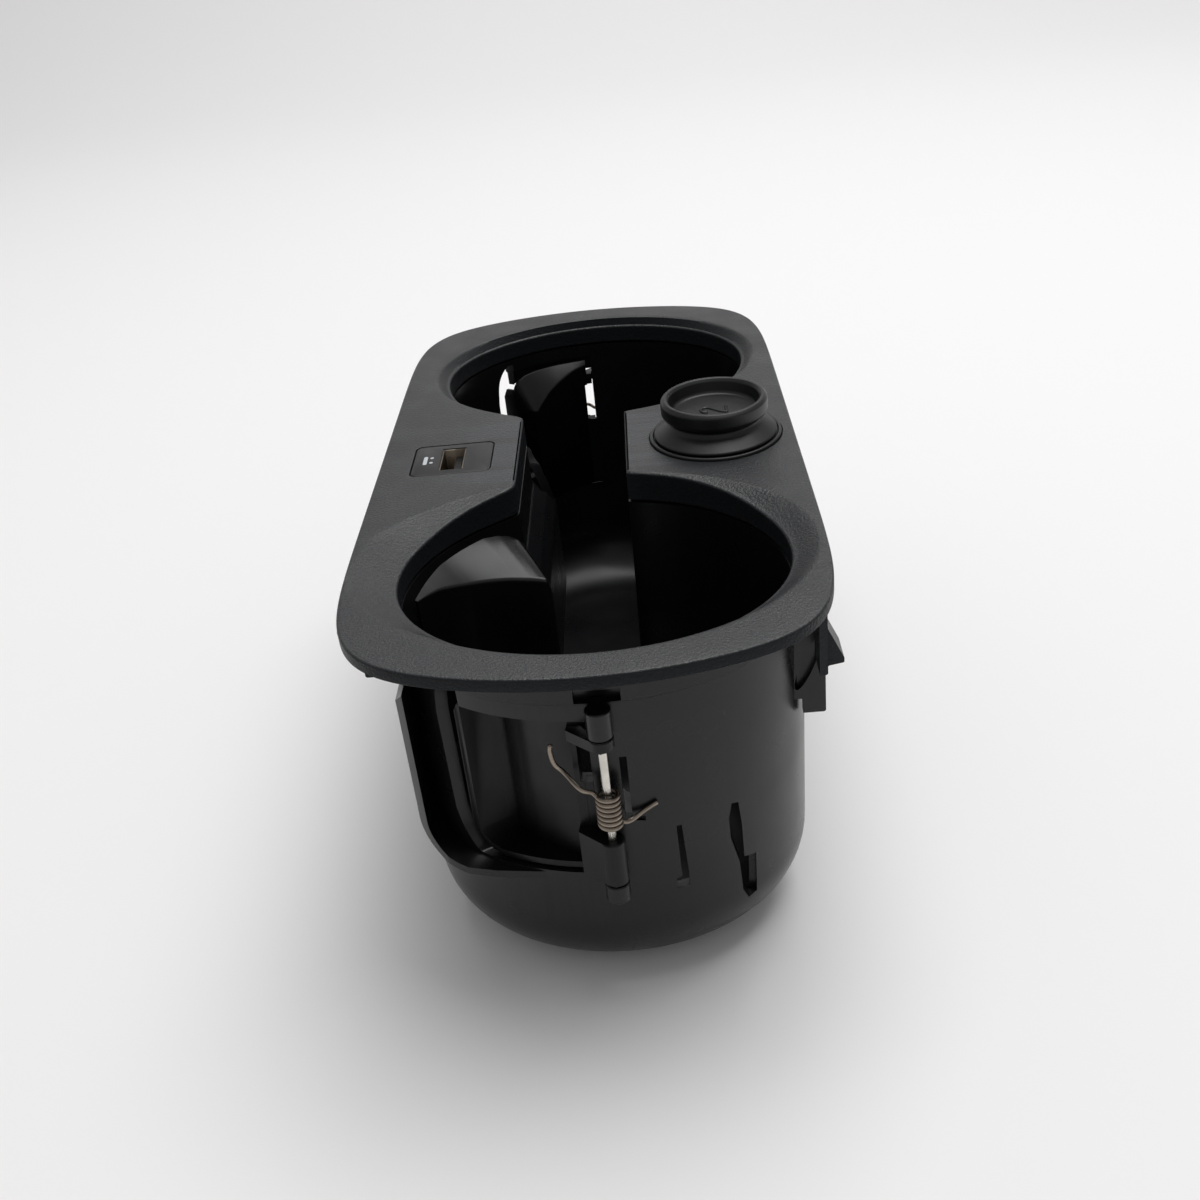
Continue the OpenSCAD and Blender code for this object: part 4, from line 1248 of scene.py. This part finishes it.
def make_ring():
    """Trim ring round the socket, with a rounded bead along its outer edge."""
    outer, inner = RING_R, 13.8
    profile = [
        (inner, -1), (outer, -1), (outer, 0.75), (outer - 0.9, 0.75), (outer - 1.1, 0.3),
        (inner + 1.5, 0.3), (inner, 0), (inner, -1),
    ]
    radii = [0, 0, 0.42, 0.42, 0.15, 0.3, 0.1, 0]
    profile = rounded(profile, radii)[:-1]
    vertices, _ = lathe([(r, DECK + z) for r, z in profile], SOCKET)
    ring = solid("ring", vertices, strip_faces(len(profile), RING_SIDES, True))
    gathered(
        "socket_ring_body", [ring], SATIN_RUBBER, "holder", ("socket_ring",)
    )


make_cap()
make_ring()


# Charging port

# Half width and half length of the hole in the plate; edge of the print, which stands out by
# twice as much
PORT_HOLE, PRINT_EDGE = (3.25, 6.9), 0.02


def rounded_rect(centre, half_w, half_l, corner, steps=9):
    """Plan of a rectangle with round corners, counter-clockwise: a quarter circle about the
    middle of each corner's rounding."""
    out = []
    for k, sides in enumerate(((1, 1), (-1, 1), (-1, -1), (1, -1))):
        turn = np.radians(np.linspace(90 * k, 90 * k + 90, steps))
        middle = np.array(centre) + np.array(sides) * (half_w - corner, half_l - corner)
        out.append(middle + corner * np.stack([np.cos(turn), np.sin(turn)], 1))
    return np.concatenate(out)


def pad(name, centre, half_w, half_l, corner, drop0, drop1, edge=0.15):
    """Plate with round corners in plan and a broken upper edge."""
    rows = [(0, drop1), (0, drop0 + edge), (edge * 0.3, drop0 + edge * 0.3), (edge, drop0)]
    rings = [
        at_drop(rounded_rect(centre, half_w - cut, half_l - cut, corner - cut), drop)
        for cut, drop in rows
    ]
    return solid(name, *loft(rings))


def make_port_plate():
    """The plate of the port, pierced for its shell, and the print on it."""
    half_w, half_l, thick = PLATE[0] / 2, PLATE[1] / 2, PLATE[2]
    hole = box_solid(
        "hole",
        (PORT[0] - PORT_HOLE[0], PORT[1] - PORT_HOLE[1], DECK - 3),
        (PORT[0] + PORT_HOLE[0], PORT[1] + PORT_HOLE[1], DECK + 1),
    )
    plate = carved(pad("plate", PORT, half_w, half_l, 2.0, 0, thick, BREAK), [hole])
    gathered(
        "port_plate_body", [plate], SATIN_RUBBER, "holder", ("port_plate",)
    )
    # A plain printed mark of a bar and two dots
    prints = [("bar", (-43.9, -2.2), 0.55, 2.6, 0.5)]
    prints += [("dot", (-42.2, y), 0.5, 0.5, 0.45) for y in (-3.7, -0.7)]
    mark = [pad(*plan, -2 * PRINT_EDGE, PRINT_EDGE, PRINT_EDGE) for plan in prints]
    gathered("port_mark", mark, PALE_INK, "holder")


make_port_plate()


# Nodes whose own shape stays

for node_name, finish, slot, rounding_mm in (
    ("pin_front", DRAWN_STEEL, "pin_steel", 0.15),
    ("pin_rear", DRAWN_STEEL, "pin_steel", 0.15),
    ("port_shell", PLATED_SHEET, "shell_metal", 0.1),
    ("port_tongue", SATIN_NYLON, "tub_plastic", 0.15),
    ("port_housing", SATIN_NYLON, "tub_plastic", 0.3),
    ("socket_housing", SATIN_NYLON, "tub_plastic", 0.3),
    ("socket_barrel", NICKEL, "barrel_steel", 0.0),
    ("tub_screws", BLACK_OXIDE, "screw_steel", 0.3),
):
    dress(node_name, finish, rounding_mm)

for node_name, metal in (
    ("port_contacts", BRASS),
    ("port_terminals", PLATED_SHEET),
    ("socket_contact", BRASS),
    ("socket_insulator", PRESSED_BOARD),
    ("socket_terminals", PLATED_SHEET),
):
    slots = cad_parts[node_name].data.materials
    slots.clear()
    slots.append(metal)


# Stage

# What the lamps look at, in metres
LAMP_TARGET = Vector((0.0, 0.0, 0.05))
# Yaw, pitch and roll of the camera in degrees, its focal length in millimetres, and its
# place in metres
CAMERA_TURNS = (-3.19, 30.31, -6.38)
CAMERA_LENS = 39.95
CAMERA_PLACE = (0.017684, -0.333851, 0.243946)


def studio_sweep():
    """A floor that turns up into a backdrop: straight, a quarter arc, straight, carried
    across."""
    arc = np.linspace(0, math.pi / 2, 17)
    radius, back = 900.0, 1100.0
    path = np.concatenate(
        [
            [[-3200.0, 0.0]],
            np.stack([back + radius * np.sin(arc), radius - radius * np.cos(arc)], 1),
            [[back + radius, 4200.0]],
        ]
    )
    across = np.array([-3600.0, 3600.0])
    grid = np.array([[[x, y, z] for x in across] for y, z in path]).reshape(-1, 3)
    faces = [(2 * k, 2 * k + 1, 2 * k + 3, 2 * k + 2) for k in range(len(path) - 1)]
    mesh = bpy.data.meshes.new("sweep")
    mesh.from_pydata((grid * MM).tolist(), [], faces)
    mesh.shade_smooth()
    sweep = bpy.data.objects.new("sweep", mesh)
    bpy.context.scene.collection.objects.link(sweep)
    # Matte paper: near white without a gleam
    material, tree, output, _ = new_material("paper_sweep_white")
    shader = add(
        tree,
        "ShaderNodeBsdfPrincipled",
        {"Base Color": linear("#f1f0f0"), "Roughness": 0.85},
    )
    tree.links.new(shader.outputs[0], output.inputs["Surface"])
    mesh.materials.append(material)


def soft_lamp(name, place, size, power):
    """A square soft box at a place in metres, turned to the object, its power in watts."""
    lamp = bpy.data.lights.new(name, "AREA")
    lamp.shape = "SQUARE"
    lamp.size = size
    lamp.energy = power
    thing = bpy.data.objects.new(name, lamp)
    thing.location = place
    thing.rotation_euler = (LAMP_TARGET - Vector(place)).to_track_quat("-Z", "Y").to_euler()
    bpy.context.scene.collection.objects.link(thing)


def photo_camera():
    """The camera at the photograph's place: yaw, then pitch, then roll about the view."""
    yaw, pitch, roll = (math.radians(a) for a in CAMERA_TURNS)
    ahead = np.array(
        [math.sin(yaw) * math.cos(pitch), math.cos(yaw) * math.cos(pitch), -math.sin(pitch)]
    )
    side = np.array([math.cos(yaw), -math.sin(yaw), 0.0])
    up = np.cross(side, ahead)
    turned_side = side * math.cos(roll) + up * math.sin(roll)
    turned_up = -side * math.sin(roll) + up * math.cos(roll)
    data = bpy.data.cameras.new("photo_camera")
    data.sensor_width = 36.0
    data.lens = CAMERA_LENS
    thing = bpy.data.objects.new("photo_camera", data)
    turn = Matrix(np.stack([turned_side, turned_up, -ahead], 1).tolist()).to_4x4()
    thing.matrix_world = Matrix.Translation(CAMERA_PLACE) @ turn
    bpy.context.scene.collection.objects.link(thing)
    bpy.context.scene.camera = thing


studio_sweep()
soft_lamp("overhead_box", (0.3, 0.4, 1.85), 1.5, 31)
soft_lamp("front_box", (0.5, -1.5, 1.2), 1.2, 0.8)
photo_camera()

world = bpy.data.worlds.new("studio_air")
bpy.context.scene.world = world
world.use_nodes = True
air = world.node_tree.nodes["Background"]
air.inputs["Color"].default_value = linear("#e6e6e7")
air.inputs["Strength"].default_value = 0.42
bpy.context.scene.view_settings.view_transform = "Standard"
